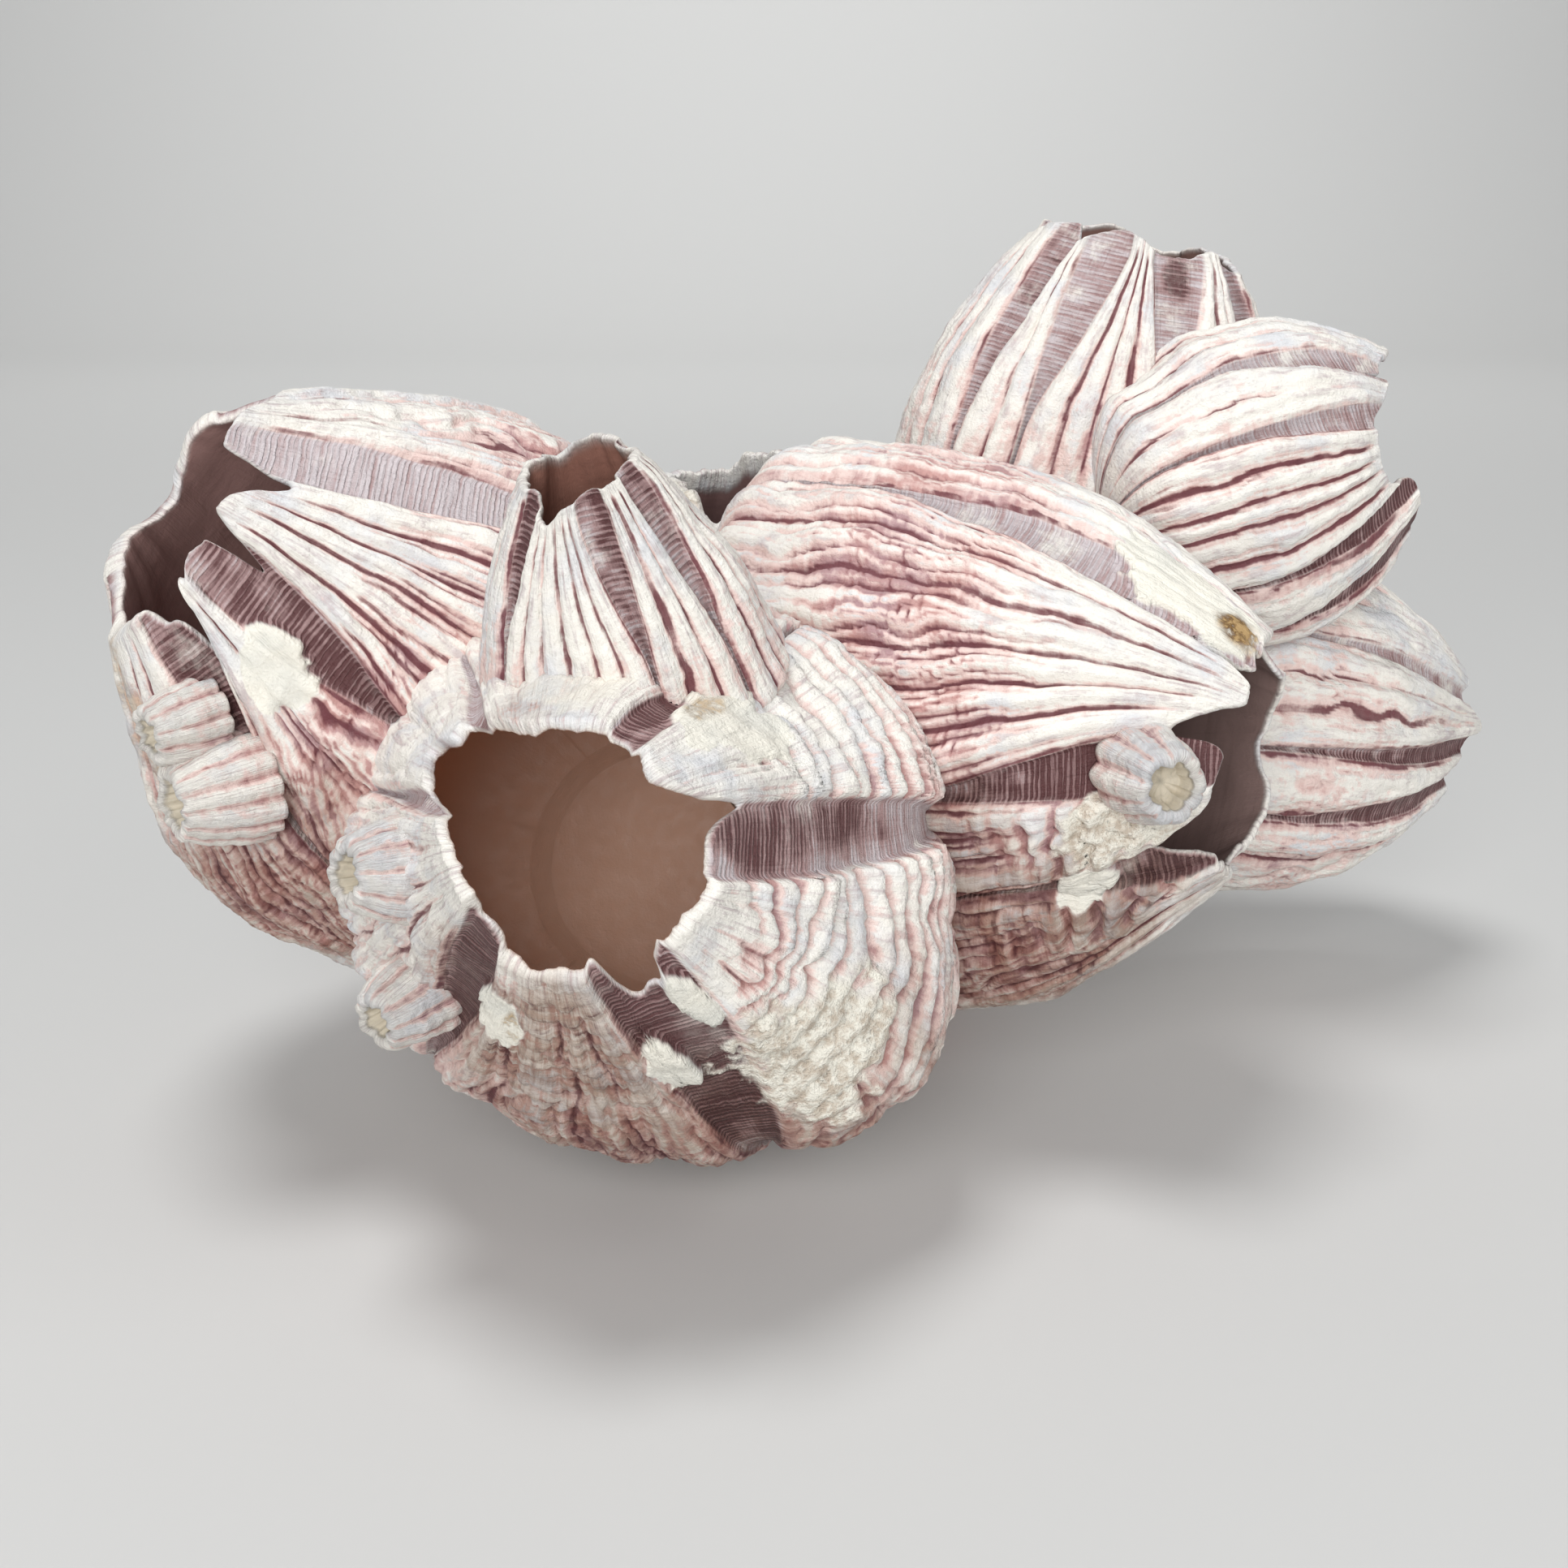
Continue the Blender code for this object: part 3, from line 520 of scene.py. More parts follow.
# How wide the soft edge of a zone is, as a share of its size: by kind, and of the other kinds
SOFT_EDGES = {"cover": 0.12, "dark": 0.6, "white": 0.5, "pink": 0.8, "net": 0.7,
              "crust": 0.42, "film_and_shade": 0.5}
OTHER_EDGE = 0.3
RAGGED = 0.55  # how much large noise bends the outline of a zone
FRINGE, CRUST_FRINGE = 0.18, 0.4  # how much fine noise does, and in crusts
# film is partly a brownish film and partly painted shade on the lower plates, which face down
ZONE_KINDS = ("pink", "white", "dark", "crust", "cover", "stain", "film_and_shade", "wrinkle", "net")


def zone_masks(shell, angle, height, points):
    """The amount of each kind of surface at each point, from the shell's zones."""
    masks = {kind: np.zeros_like(height) for kind in ZONE_KINDS}
    ragged = noise_at(points, 5, shell.seed, 3)
    fringe = noise_at(points, 1.2, shell.seed, 2)
    for kind, zones in shell.form["zones"].items():
        soft = SOFT_EDGES.get(kind, OTHER_EDGE)
        for at, tall, wide, high, amount in zones:
            round_way = (angle - at + 180) % 360 - 180
            away = np.hypot(round_way / wide, (height - tall) / high) + RAGGED * ragged
            away = away + (CRUST_FRINGE if kind == "crust" else FRINGE) * fringe
            mask = smooth(1 + soft, 1 - soft, away) * amount
            masks[kind] = np.maximum(masks[kind], mask)
    return masks


def grooves(phase):
    """How near each phase is to a groove between two ribs: 0 on top of a rib and 1 in the groove."""
    return np.abs(2 * (phase % 1) - 1)


def relief(shell, columns, height, points, radius, below):
    """The relief over the smooth form, in millimetres, and the looks of each point of the outside."""
    number, strip, share = shell.plate_of(columns)
    form = shell.form
    fine = form["detail"]
    seed = shell.seed
    fan = shell.fan(columns, height)
    rim_wide = shell.rims[:, 1] - shell.rims[:, 0]
    foot_wide = shell.feet[:, 1] - shell.feet[:, 0]
    rim_gap = np.append(shell.rims[1:, 0], shell.rims[0, 0] + 360) - shell.rims[:, 1]
    plate_wide = foot_wide[number] + (rim_wide - foot_wide)[number] * fan
    strip_wide = STRIP_END + (rim_gap[number] - STRIP_END) * fan
    wide = np.where(strip, strip_wide, plate_wide) * radius * math.pi / 180
    places = points / fine
    up = height / fine
    wander = noise_at(places, WANDER_SIZE, seed, 2) * form["wander"]
    quiver = noise_at(places, QUIVER_SIZE, seed, 2)
    masks = zone_masks(shell, shell.angle_at(columns, height), height, points)
    crust, white, wrinkle = masks["crust"], masks["white"], masks["wrinkle"]
    net = np.maximum(masks["net"], 0.7 * masks["film_and_shade"])
    cover = masks["cover"]
    edge = np.minimum(share, 1 - share) * wide / fine
    edge = np.where(strip, -edge, edge) + 0.3 * wander + 0.1 * quiver
    lift = np.maximum(smooth(-EDGE, EDGE, edge), cover)

    ribs = shell.ribs[number]
    middle = 4 * share * (1 - share)
    jitter = 0.17 * np.sin(2 * math.pi * (share * 1.5 + np.sin(number * 2.3 + seed)))
    phase = share * ribs + (jitter + 0.35 * wander) * middle + 0.05 * quiver
    rib_wide = wide / ribs / fine
    between = 2 * phase + 0.5 + 0.3 * wander
    away = grooves(phase)
    sub_away = grooves(between)
    third_away = grooves(between * 2 + 0.4 * wander)
    fourth_away = grooves(between * 4 + 0.9 * wander + 0.2)
    calm = 1 - CALM * wrinkle
    splits = form["splits"] * calm
    sub = smooth(*SUB_WIDTHS, rib_wide + 1.2 * wander + 0.6 * net) * splits
    third = smooth(*THIRD_WIDTHS, rib_wide + 1.2 * wander + 1.2 * net) * splits
    fourth = smooth(*FOURTH_WIDTHS, rib_wide + 1.4 * wander + 2.5 * net) * splits
    rib = 1 - away ** RIB_SHARP
    strength = np.clip(rib_wide / 2.4, 0.35, 1.2) * (0.85 + 0.7 * noise_at(places, 6, seed + 5))
    out = RIB * (rib - RIB_MIDDLE) * strength * (1 - 0.35 * masks["film_and_shade"])
    out = out + SUB_RIB * sub * (0.3 - sub_away ** 3) + THIRD_RIB * third * (0.3 - third_away ** 3)
    flat = 1 - EVEN * smooth(form["even"], 0, below)
    out = out * flat * (0.15 + 0.85 * calm)

    growth = up + 0.6 * rib * np.clip(rib_wide / 3, 0, 1) * calm + 0.7 * wander + 0.3 * quiver
    break_up = noise(phase * 2.2, growth / 2.2, seed + 15)
    step = growth / LEDGE_STEP + 0.9 * noise(phase * 1.3, growth / 3, seed)
    ledge = ((step % 1) ** 2 - 0.33) * (0.6 + 1.2 * break_up)
    waves = 2.6 * noise(phase * 0.6, growth / 8, seed + 3) + 1.1 * noise(phase * 1.5, growth / 5, seed + 6)
    pleat = grooves((growth + waves) / FOLD_STEP + 0.15 * quiver)
    swing = np.clip(0.85 + 1.1 * noise(phase * 0.8, growth / 4, seed + 21), 0, 1.3)
    fold = (0.6 - pleat ** 1.8) * swing
    bulge = noise(growth / 2.1, phase * 1.3, seed) * 0.2 + 0.1 * quiver
    heave = HEAVE * noise_at(places, HEAVE_SIZE, seed + 8, 2)
    out = out + (0.05 + 0.95 * wrinkle) * WRINKLE * fold + bulge
    out = out - (0.3 + 0.6 * net) * LEDGE * ledge
    out = out * (1 - 0.25 * white * (1 - wrinkle)) * (1 - 0.7 * cover)

    bands = noise(up / 0.8, seed + 40 + number, share * 0.6) * 0.10
    bands = bands + noise(up / 2.6, seed + 50 + number, share) * 0.16
    hollow = -STRIP - 0.2 * np.sin(math.pi * np.clip(share, 0, 1)) + bands
    total = out * lift + hollow * (1 - lift)
    chalk = noise_at(places, 1.4, seed + 3, 4)
    flake = np.abs(noise_at(places, 3, seed)) + 0.6 * (growth / FOLD_STEP % 1) ** 2
    total = total * (1 - 0.35 * crust) + crust * (CRUST + 0.4 * chalk + 0.5 * flake)
    total = total + cover * (COVER + 0.5 * noise_at(places, 2.6, seed))
    total = total + GRAIN * noise_at(places, GRAIN_SIZE, seed, 2) + heave
    total = total * fine

    rose_and_groove_shade = np.array(form["rose_and_groove_shade"])[number]
    patchy = noise(phase * 1.7, up / 6, seed)
    spots = noise(phase * 3.1, up / 1.6, seed + 4)
    line = smooth(0.7, 0.95, step % 1) * smooth(-0.25, 0.25, break_up)
    low = np.clip(masks["pink"] + 0.22 * smooth(0.7, 0.1, fan + 0.4 * wander), 0, 1)
    near = (1 - away) * rib_wide * fine / 2
    near_sub = (1 - sub_away) * rib_wide * fine / 4
    # The grooves get blush and wine red: partly the shell's own colour, partly painted shade in the
    # grooves, which leaves the rib tops paler
    blush_and_groove_shade = 0.95 * smooth(0.55, 0.92, away) * smooth(1.5, 0.7, near) * (0.35 + 0.6 * rose_and_groove_shade) * calm
    blush_and_groove_shade = np.maximum(blush_and_groove_shade, sub * smooth(0.5, 1.0, sub_away) * (0.2 + 0.35 * rose_and_groove_shade + 0.4 * low))
    blush_and_groove_shade = np.maximum(blush_and_groove_shade, third * smooth(0.5, 1.0, third_away) * (0.1 + 0.25 * rose_and_groove_shade + 0.6 * low))
    blush_and_groove_shade = np.maximum(blush_and_groove_shade, 0.9 * fourth * smooth(0.4, 1.0, fourth_away) * low)
    blush_and_groove_shade = blush_and_groove_shade * flat + low * (0.2 + 0.5 * wander) + 0.22 * patchy + 0.2 * spots - 0.03
    # the furrows of the growth folds: partly their own mauve, partly painted shade in the creases, which
    # the mesh is too coarse to shade
    furrow_tint_and_shade = wrinkle * smooth(0.4, 0.85, pleat) * smooth(-0.1, 0.4, swing)
    blush_and_groove_shade = blush_and_groove_shade + line * (0.1 + 0.35 * net + 0.15 * low) + 1.1 * furrow_tint_and_shade
    narrow = np.clip(0.08 + 0.11 * rib_wide * fine, 0.18, 0.42)
    strong = np.clip(0.25 + rose_and_groove_shade + 1.2 * patchy + 0.5 * low, 0, 1)
    wine_and_groove_shade = smooth(narrow, 0.3 * narrow, near - 0.1 * patchy) * strong * flat * calm
    chance = np.clip(0.6 * low + 0.55 * rose_and_groove_shade + 1.2 * patchy, 0, 1)
    wine_and_groove_shade = np.maximum(wine_and_groove_shade, 0.8 * sub * smooth(0.3, 0.1, near_sub) * chance)
    chance = np.clip(0.8 * low + 1.3 * spots, 0, 1)
    wine_and_groove_shade = np.maximum(wine_and_groove_shade, 0.8 * third * smooth(0.8, 1.0, third_away) * chance)
    wine_and_groove_shade = np.maximum(wine_and_groove_shade, line * np.clip(0.65 * net + 0.2 * low + 1.1 * spots - 0.2, 0, 0.8))
    striae = masks["film_and_shade"] * smooth(0.45, 0.85, grooves(growth / 1.5 + 0.2 * quiver))
    wine_and_groove_shade = np.maximum(wine_and_groove_shade, 0.7 * striae * np.clip(0.55 + 1.6 * patchy, 0, 1))
    chance = np.clip(0.45 + 1.7 * patchy + spots, 0, 1)
    wine_and_groove_shade = np.maximum(wine_and_groove_shade, 0.9 * furrow_tint_and_shade * smooth(0.7, 0.95, pleat) * chance)
    bleach = 1 - 0.75 * white
    bare = (1 - crust) * (1 - cover) * lift * (1 - 0.45 * white)
    in_strip = (1 - lift) * (1 - 0.4 * white) * (1 - crust)
    tint = np.array(form["strips"])[number]
    shade = 0.6 + 0.5 * share + 0.9 * noise(up / 3.5, seed + number, share * 2)
    dark = np.clip(tint * shade * (0.5 + 0.5 * smooth(0.0, 0.7, fan)) + masks["dark"], 0, 1.3)
    looks = {
        "tone_a": np.stack([wine_and_groove_shade * bare, in_strip, dark], -1),
        "tone_b": np.stack([blush_and_groove_shade * bleach * (1 - cover), crust, masks["stain"]], -1),
        "tone_c": np.stack([masks["film_and_shade"] * (1 - cover), cover, 0 * cover], -1),
    }
    return total, looks


# The looks of a point: tone_a is the wine red of grooves, partly painted shade in them, strip and how dark
# the strip is, tone_b is blush, partly painted shade in the grooves too, crust and stain, and tone_c is
# film, partly painted shade on the lower plates, cover and how deep in a cup it lies
NO_TONE = (0.0, 0.0, 0.0)
FOOT_TONE = (0.5, 0.4, 0.1)  # a tone_b


def join_rings(upper, lower, count):
    """The quads between two rings of count points each, given by their first points."""
    i = np.arange(count)
    after = (i + 1) % count
    return np.stack([upper + i, upper + after, lower + after, lower + i], -1)


def rings_to_faces(count, rows, first):
    """The quads of a grid whose rows are rings of count points each."""
    row = first + np.arange(rows - 1)[:, None] * count
    return join_rings(row, row + count, count).reshape(-1, 4)


def close_ring(first, center, count):
    """The triangles from a ring to one point."""
    i = np.arange(count)
    return np.stack([first + i, first + (i + 1) % count, np.full(count, center)], -1)


def stitch(upper, lower, ratio):
    """The triangles between a ring and one with fewer points, ratio times fewer."""
    faces = []
    count = len(lower)
    half = ratio // 2
    for i in range(count):
        here, after = lower[i], lower[(i + 1) % count]
        for step in range(ratio):
            a = upper[i * ratio + step]
            b = upper[(i * ratio + step + 1) % len(upper)]
            faces.append((a, b, here if step < half else after))
            if step == half - 1:
                faces.append((b, after, here))
    return faces


class Grid:
    """The points, faces and looks of a mesh that is put together from rings."""

    def __init__(self):
        self.points, self.faces, self.count = [], [], 0
        self.looks = {"ring": [], "tone_a": [], "tone_b": [], "tone_c": []}

    def add(self, points, ring, tone_a=NO_TONE, tone_b=NO_TONE, tone_c=NO_TONE):
        """Adds rows of points, and returns the index of the first."""
        first = self.count
        self.points.append(points.reshape(-1, 3))
        for key, value in (("ring", ring), ("tone_a", tone_a), ("tone_b", tone_b), ("tone_c", tone_c)):
            self.looks[key].append(np.broadcast_to(value, points.shape).reshape(-1, 3))
        self.count += len(self.points[-1])
        return first

    def mesh(self, name, hidden=None):
        """The mesh, in metres, without the faces whose points are all hidden."""
        points = np.concatenate(self.points)
        looks = {key: np.concatenate(parts) for key, parts in self.looks.items()}
        faces = [tuple(face) for block in self.faces for face in np.asarray(block).tolist()]
        if hidden is not None:
            gone = hidden(points)
            faces = [face for face in faces if not all(gone[i] for i in face)]
        used = np.zeros(len(points), bool)
        used[np.fromiter((i for face in faces for i in face), int)] = True
        index = np.cumsum(used) - 1
        faces = [tuple(index[list(face)].tolist()) for face in faces]
        mesh = bpy.data.meshes.new(name)
        mesh.from_pydata((points[used] * MM).tolist(), [], faces)
        for key, value in looks.items():
            layer = mesh.attributes.new(key, "FLOAT_VECTOR", "POINT")
            layer.data.foreach_set("vector", value[used].astype(np.float32).ravel())
        mesh.polygons.foreach_set("use_smooth", [True] * len(mesh.polygons))
        mesh.update()
        return mesh


RIM_STEPS = 5
CUP_RATIO = 4  # how many lines of the outside go with one of the cup
CUP_ROW = 1.3  # millimetres from row to row in a cup
DOME_ROWS = 14
DISC_RINGS = 6
UNDER_STEPS = (0.97, 0.9, 0.75, 0.55, 0.35)  # of the rings below a flat foot
RING = 18.0  # radius of the ring on which the materials lay their noise


def depth_tone(depth):
    """The tone_c of points that lie this deep in a cup, from 0 to 1."""
    depth = np.asarray(depth, float)
    return np.stack([0 * depth, 0 * depth, depth], -1)


def ring_places(turn, height):
    """Coordinates that go round a shell without a seam: two for the angle, and the height."""
    turn, height = np.broadcast_arrays(turn, height)
    return np.stack([RING * np.cos(turn), RING * np.sin(turn), height], -1)


def build_shell(shell, older):
    """The mesh of one large barnacle: foot, outside, lip, cup and floor."""
    columns = shell.columns()
    count = len(columns)
    form, seed = shell.form, shell.seed
    fine, dome = form["detail"], form["dome"]
    turn = np.radians(columns)
    jag = noise_round(turn, 7, seed, 4)
    rim = shell.rim(columns) + form["jag"] * jag * fine
    rows = int(form["grid"][1] / COARSE)
    level = np.linspace(0, 1, rows)[:, None] ** 0.85
    lowest = shell.lowest(columns)
    height = lowest + level * (rim - LIP - lowest)
    taper = np.ones((rows, 1))
    if dome:
        bend = np.linspace(0.9, 0, DOME_ROWS + 1)[:-1, None] * math.pi / 2
        height = np.concatenate([-dome * np.sin(bend) + 0.0 * columns, height])
        taper = np.concatenate([np.cos(bend), taper])
        rows += DOME_ROWS
    lines = np.broadcast_to(columns, height.shape)
    angle = shell.angle_at(lines, height)
    radius = shell.radius(angle, height) * taper
    points = shell.point(angle, height, radius)
    extra, looks = relief(shell, lines, height, points, radius, rim - height)
    thin = smooth(3.0, 0.0, rim - height)
    outer = radius + extra * np.sqrt(taper) - LIP_DRAW * thin
    outside = shell.point(angle, height, outer)
    grid = Grid()
    first = grid.add(outside, ring_places(turn, height), looks["tone_a"], looks["tone_b"], looks["tone_c"])
    grid.faces.append(rings_to_faces(count, rows, first))

    edge_angle, edge_height, edge_radius = angle[-1], height[-1], outer[-1]
    edge_a, edge_b, edge_c = (looks[key][-1] for key in ("tone_a", "tone_b", "tone_c"))
    wall = curve_through(form["lip"], columns, 360) * (0.8 + 0.5 * noise_round(turn, 4.5, seed + 2))
    wall = wall * (1 - 0.35 * edge_a[:, 1])
    bend = np.linspace(0, math.pi, RIM_STEPS + 2)[1:, None]
    lip_radius = edge_radius - wall / 2 + np.cos(bend) * wall / 2
    lip_height = edge_height + np.sin(bend) * LIP
    lip = shell.point(np.broadcast_to(edge_angle, lip_radius.shape), lip_height, lip_radius)
    inward = np.linspace(0.1, 1, RIM_STEPS + 1)[:, None]
    fade = (1 - inward)[..., None]
    shallow = 0.0 if form["white"] else 0.6
    lip_c = edge_c * fade + depth_tone(shallow * inward)
    start = grid.add(lip, ring_places(turn, lip_height), edge_a * fade, edge_b * fade, lip_c)
    grid.faces.append(join_rings(first + (rows - 1) * count, start, count))
    grid.faces.append(rings_to_faces(count, RIM_STEPS + 1, start))

    ring = np.arange(count)
    last = start + RIM_STEPS * count + ring
    few = np.arange(0, count, CUP_RATIO)
    floor = form["floor"]
    cup_rows = int((shell.height - floor) / (CUP_ROW * COARSE)) + 2
    way = np.linspace(0.015, 1, cup_rows)[:, None]
    inner_edge = lip_height[-1][few]
    cup_height = inner_edge + (floor - inner_edge) * way
    cup_lines = np.broadcast_to(columns[few], cup_height.shape)
    cup_angle = shell.angle_at(cup_lines, cup_height)
    start_gap = (shell.radius(edge_angle, edge_height) - lip_radius[-1])[few]
    gap = start_gap + (FOOT_WALL - start_gap) * way
    corner = np.clip((cup_height - floor) / CORNER, 0, 1)
    close = 0.62 + 0.38 * np.sqrt(1 - (1 - corner) ** 2)
    cup_radius = (shell.radius(cup_angle, cup_height) - gap) * close
    inside = shell.point(cup_angle, cup_height, cup_radius)
    ripple = 0.5 * noise_at(inside, 8, seed, 2)
    ripple = ripple + 0.12 * noise(cup_height / 1.2, seed)
    ripple = ripple * smooth(0, 4, inner_edge - cup_height)
    inside = shell.point(cup_angle, cup_height, cup_radius + ripple)
    inward = inner_edge - cup_height
    depth = np.maximum(shallow, smooth(form["white"] - 0.8, form["white"] + 0.8, inward))
    cup_first = grid.add(inside, ring_places(turn[few], cup_height), tone_c=depth_tone(depth))
    grid.faces.append(stitch(last, cup_first + np.arange(len(few)), CUP_RATIO))
    grid.faces.append(rings_to_faces(len(few), cup_rows, cup_first))
    ground = cup_first + (cup_rows - 1) * len(few)
    close_disc(grid, shell, ground, inside[-1], floor - FLOOR_SAG, 1.0)

    if dome:
        close_disc(grid, shell, first, outside[0], -dome, 0.0)
    else:
        steps = np.array(UNDER_STEPS)[:, None]
        under_radius = outer[0][few] * steps
        under_height = lowest[few] * steps
        under_angle = np.broadcast_to(angle[0][few], under_radius.shape)
        under = shell.point(under_angle, under_height, under_radius)
        under_ring = ring_places(turn[few], under_radius)
        under_first = grid.add(under, under_ring, looks["tone_a"][0][few] * 0.4, FOOT_TONE)
        faces = stitch(first + ring, under_first + np.arange(len(few)), CUP_RATIO)
        grid.faces.append([face[::-1] for face in faces])
        grid.faces.append(rings_to_faces(len(few), len(steps), under_first)[:, ::-1])
        bottom = under_first + (len(steps) - 1) * len(few)
        close_disc(grid, shell, bottom, under[-1], 0.0, 0.0)

    def hidden(points):
        gone = np.zeros(len(points), bool)
        for name in older:
            gone |= SHAPES[name].inside(points)
        return gone

    return grid.mesh(PREFIX + shell.name + "_mesh", hidden)


def close_disc(grid, shell, first, ring, height, within):
    """Closes a ring towards the axis: a cup's floor, or the foot if within is 0."""
    count = len(ring)
    middle = shell.foot + shell.up * height
    shrink = np.arange(DISC_RINGS, 0, -1)[:, None, None] / (DISC_RINGS + 1)
    sag = 1 - shrink ** 2
    rings = middle + (ring - middle) * shrink
    rings = rings + shell.up * ((ring - middle) @ shell.up)[None, :, None] * (1 - sag - shrink)
    tone_b = NO_TONE if within else FOOT_TONE
    start = grid.add(rings, (0.0, 0.0, height), NO_TONE, tone_b, depth_tone(within))
    center = grid.add(middle[None], (0.0, 0.0, height), NO_TONE, tone_b, depth_tone(within))
    blocks = (join_rings(first, start, count), rings_to_faces(count, DISC_RINGS, start),
              close_ring(start + (DISC_RINGS - 1) * count, center, count))
    grid.faces.extend(block if within else block[:, ::-1] for block in blocks)


SHAPES = {name: Shell(name) for name in SHELLS}


def small_frame(carrier, angle, height, lean, sway):
    """The place and axis of a small barnacle on its carrier's wall: a point and three directions."""
    angle, height = np.array(float(angle)), np.array(float(height))
    here = carrier.point(angle, height, carrier.radius(angle, height))
    above = carrier.point(angle, height + 0.5, carrier.radius(angle, height + 0.5))
    beside = carrier.point(angle + 2, height, carrier.radius(angle + 2, height))
    normal = np.cross(beside - here, above - here)
    normal /= np.linalg.norm(normal)
    aside = (beside - here) / np.linalg.norm(beside - here)
    axis = normal * (1 - lean) + carrier.up * lean + aside * sway
    turn = Vector((0, 0, 1)).rotation_difference(Vector(axis)).to_matrix()
    return here, np.array(turn)


def build_small(number, carrier, angle, height, lean, sway, rib_count, foot, tall, rim):
    """A small barnacle with rounded white ribs and an open cup."""
    here, turn = small_frame(carrier, angle, height, lean, sway)
    count, rows = ((140, 26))
    theta = np.arange(count) / count * 2 * math.pi
    t = np.linspace(0, 1, rows)[:, None]
    z = -SMALL_SUNK + (tall + SMALL_SUNK) * t
    share = np.clip(z / tall, 0, 1)
    seed = 90.0 + 13 * number
    base = foot + (rim + 1.0 - foot) * (0.45 * share + 0.55 * share ** 2.4)
    base = base * (1 + 0.16 * noise_round(theta, 1.3, seed))
    phase = theta / (2 * math.pi) * rib_count
    phase = phase + 0.3 * noise_round(theta, 2, seed + share)
    away = grooves(phase)
    ribs = (0.62 - away ** 1.8) * (0.62 - 0.3 * share) * (1 + 0.8 * noise(phase * 0.8, seed))
    base = base + ribs + 0.2 * noise(z / 0.7, phase * 0.7, seed)
    base = base + 0.25 * noise(z / 1.6, phase * 1.3, seed + 2)
    top = 0.8 * noise_round(theta, 2.2, seed + 4)
    z = z + top * share
    grid = Grid()

    def spread(radius, level):
        local = np.stack([radius * np.cos(theta), radius * np.sin(theta), level + 0 * radius], -1)
        return here + local @ turn.T

    spots = noise(phase * 2.3, z / 0.9, seed + 8)
    # wine and blush in the grooves: partly the shell's own colour, partly painted shade in them
    wine_and_groove_shade = smooth(0.8, 1, away) * np.clip(0.3 + spots, 0, 1)
    tone_a = np.stack([wine_and_groove_shade, 0 * base, 0 * base + 0.3], -1)
    blush_and_groove_shade = 0.6 * smooth(0.5, 1, away) + 0.25 * (1 - share) + 0.5 * spots
    tone_b = np.stack([blush_and_groove_shade, 0 * base + 0.1, 0 * base], -1)
    first = grid.add(spread(base, z), ring_places(theta, z), tone_a, tone_b)
    grid.faces.append(rings_to_faces(count, rows, first))
    steps = np.linspace(0.15, 1, 9)[:, None]
    fall = np.clip((steps - 0.3) / 0.7, 0, 1)
    inner = base[-1] - 1.1 * smooth(0, 0.3, steps) - (rim * 0.2) * fall
    inner = inner - 0.25 * ribs[-1] * smooth(0, 0.5, steps)
    inner_z = z[-1] + 0.3 * np.sin(np.clip(steps / 0.3, 0, 1) * math.pi) - fall * tall * 0.4
    deep = smooth(0.15, 0.5, steps) + 0 * inner
    cup = grid.add(spread(inner, inner_z), ring_places(theta, inner_z), tone_c=depth_tone(deep))
    grid.faces.append(join_rings(first + (rows - 1) * count, cup, count))
    grid.faces.append(rings_to_faces(count, len(steps), cup))
    middle = here + np.array([0, 0, tall * SMALL_FLOOR]) @ turn.T
    center = grid.add(middle[None], NO_TONE, tone_c=depth_tone(1.0))
    grid.faces.append(close_ring(cup + (len(steps) - 1) * count, center, count))
    low = here + np.array([0, 0, -SMALL_SUNK]) @ turn.T
    under = grid.add(low[None], NO_TONE)
    grid.faces.append(close_ring(first, under, count)[:, ::-1])
    return grid.mesh(f"small_{number}_mesh")


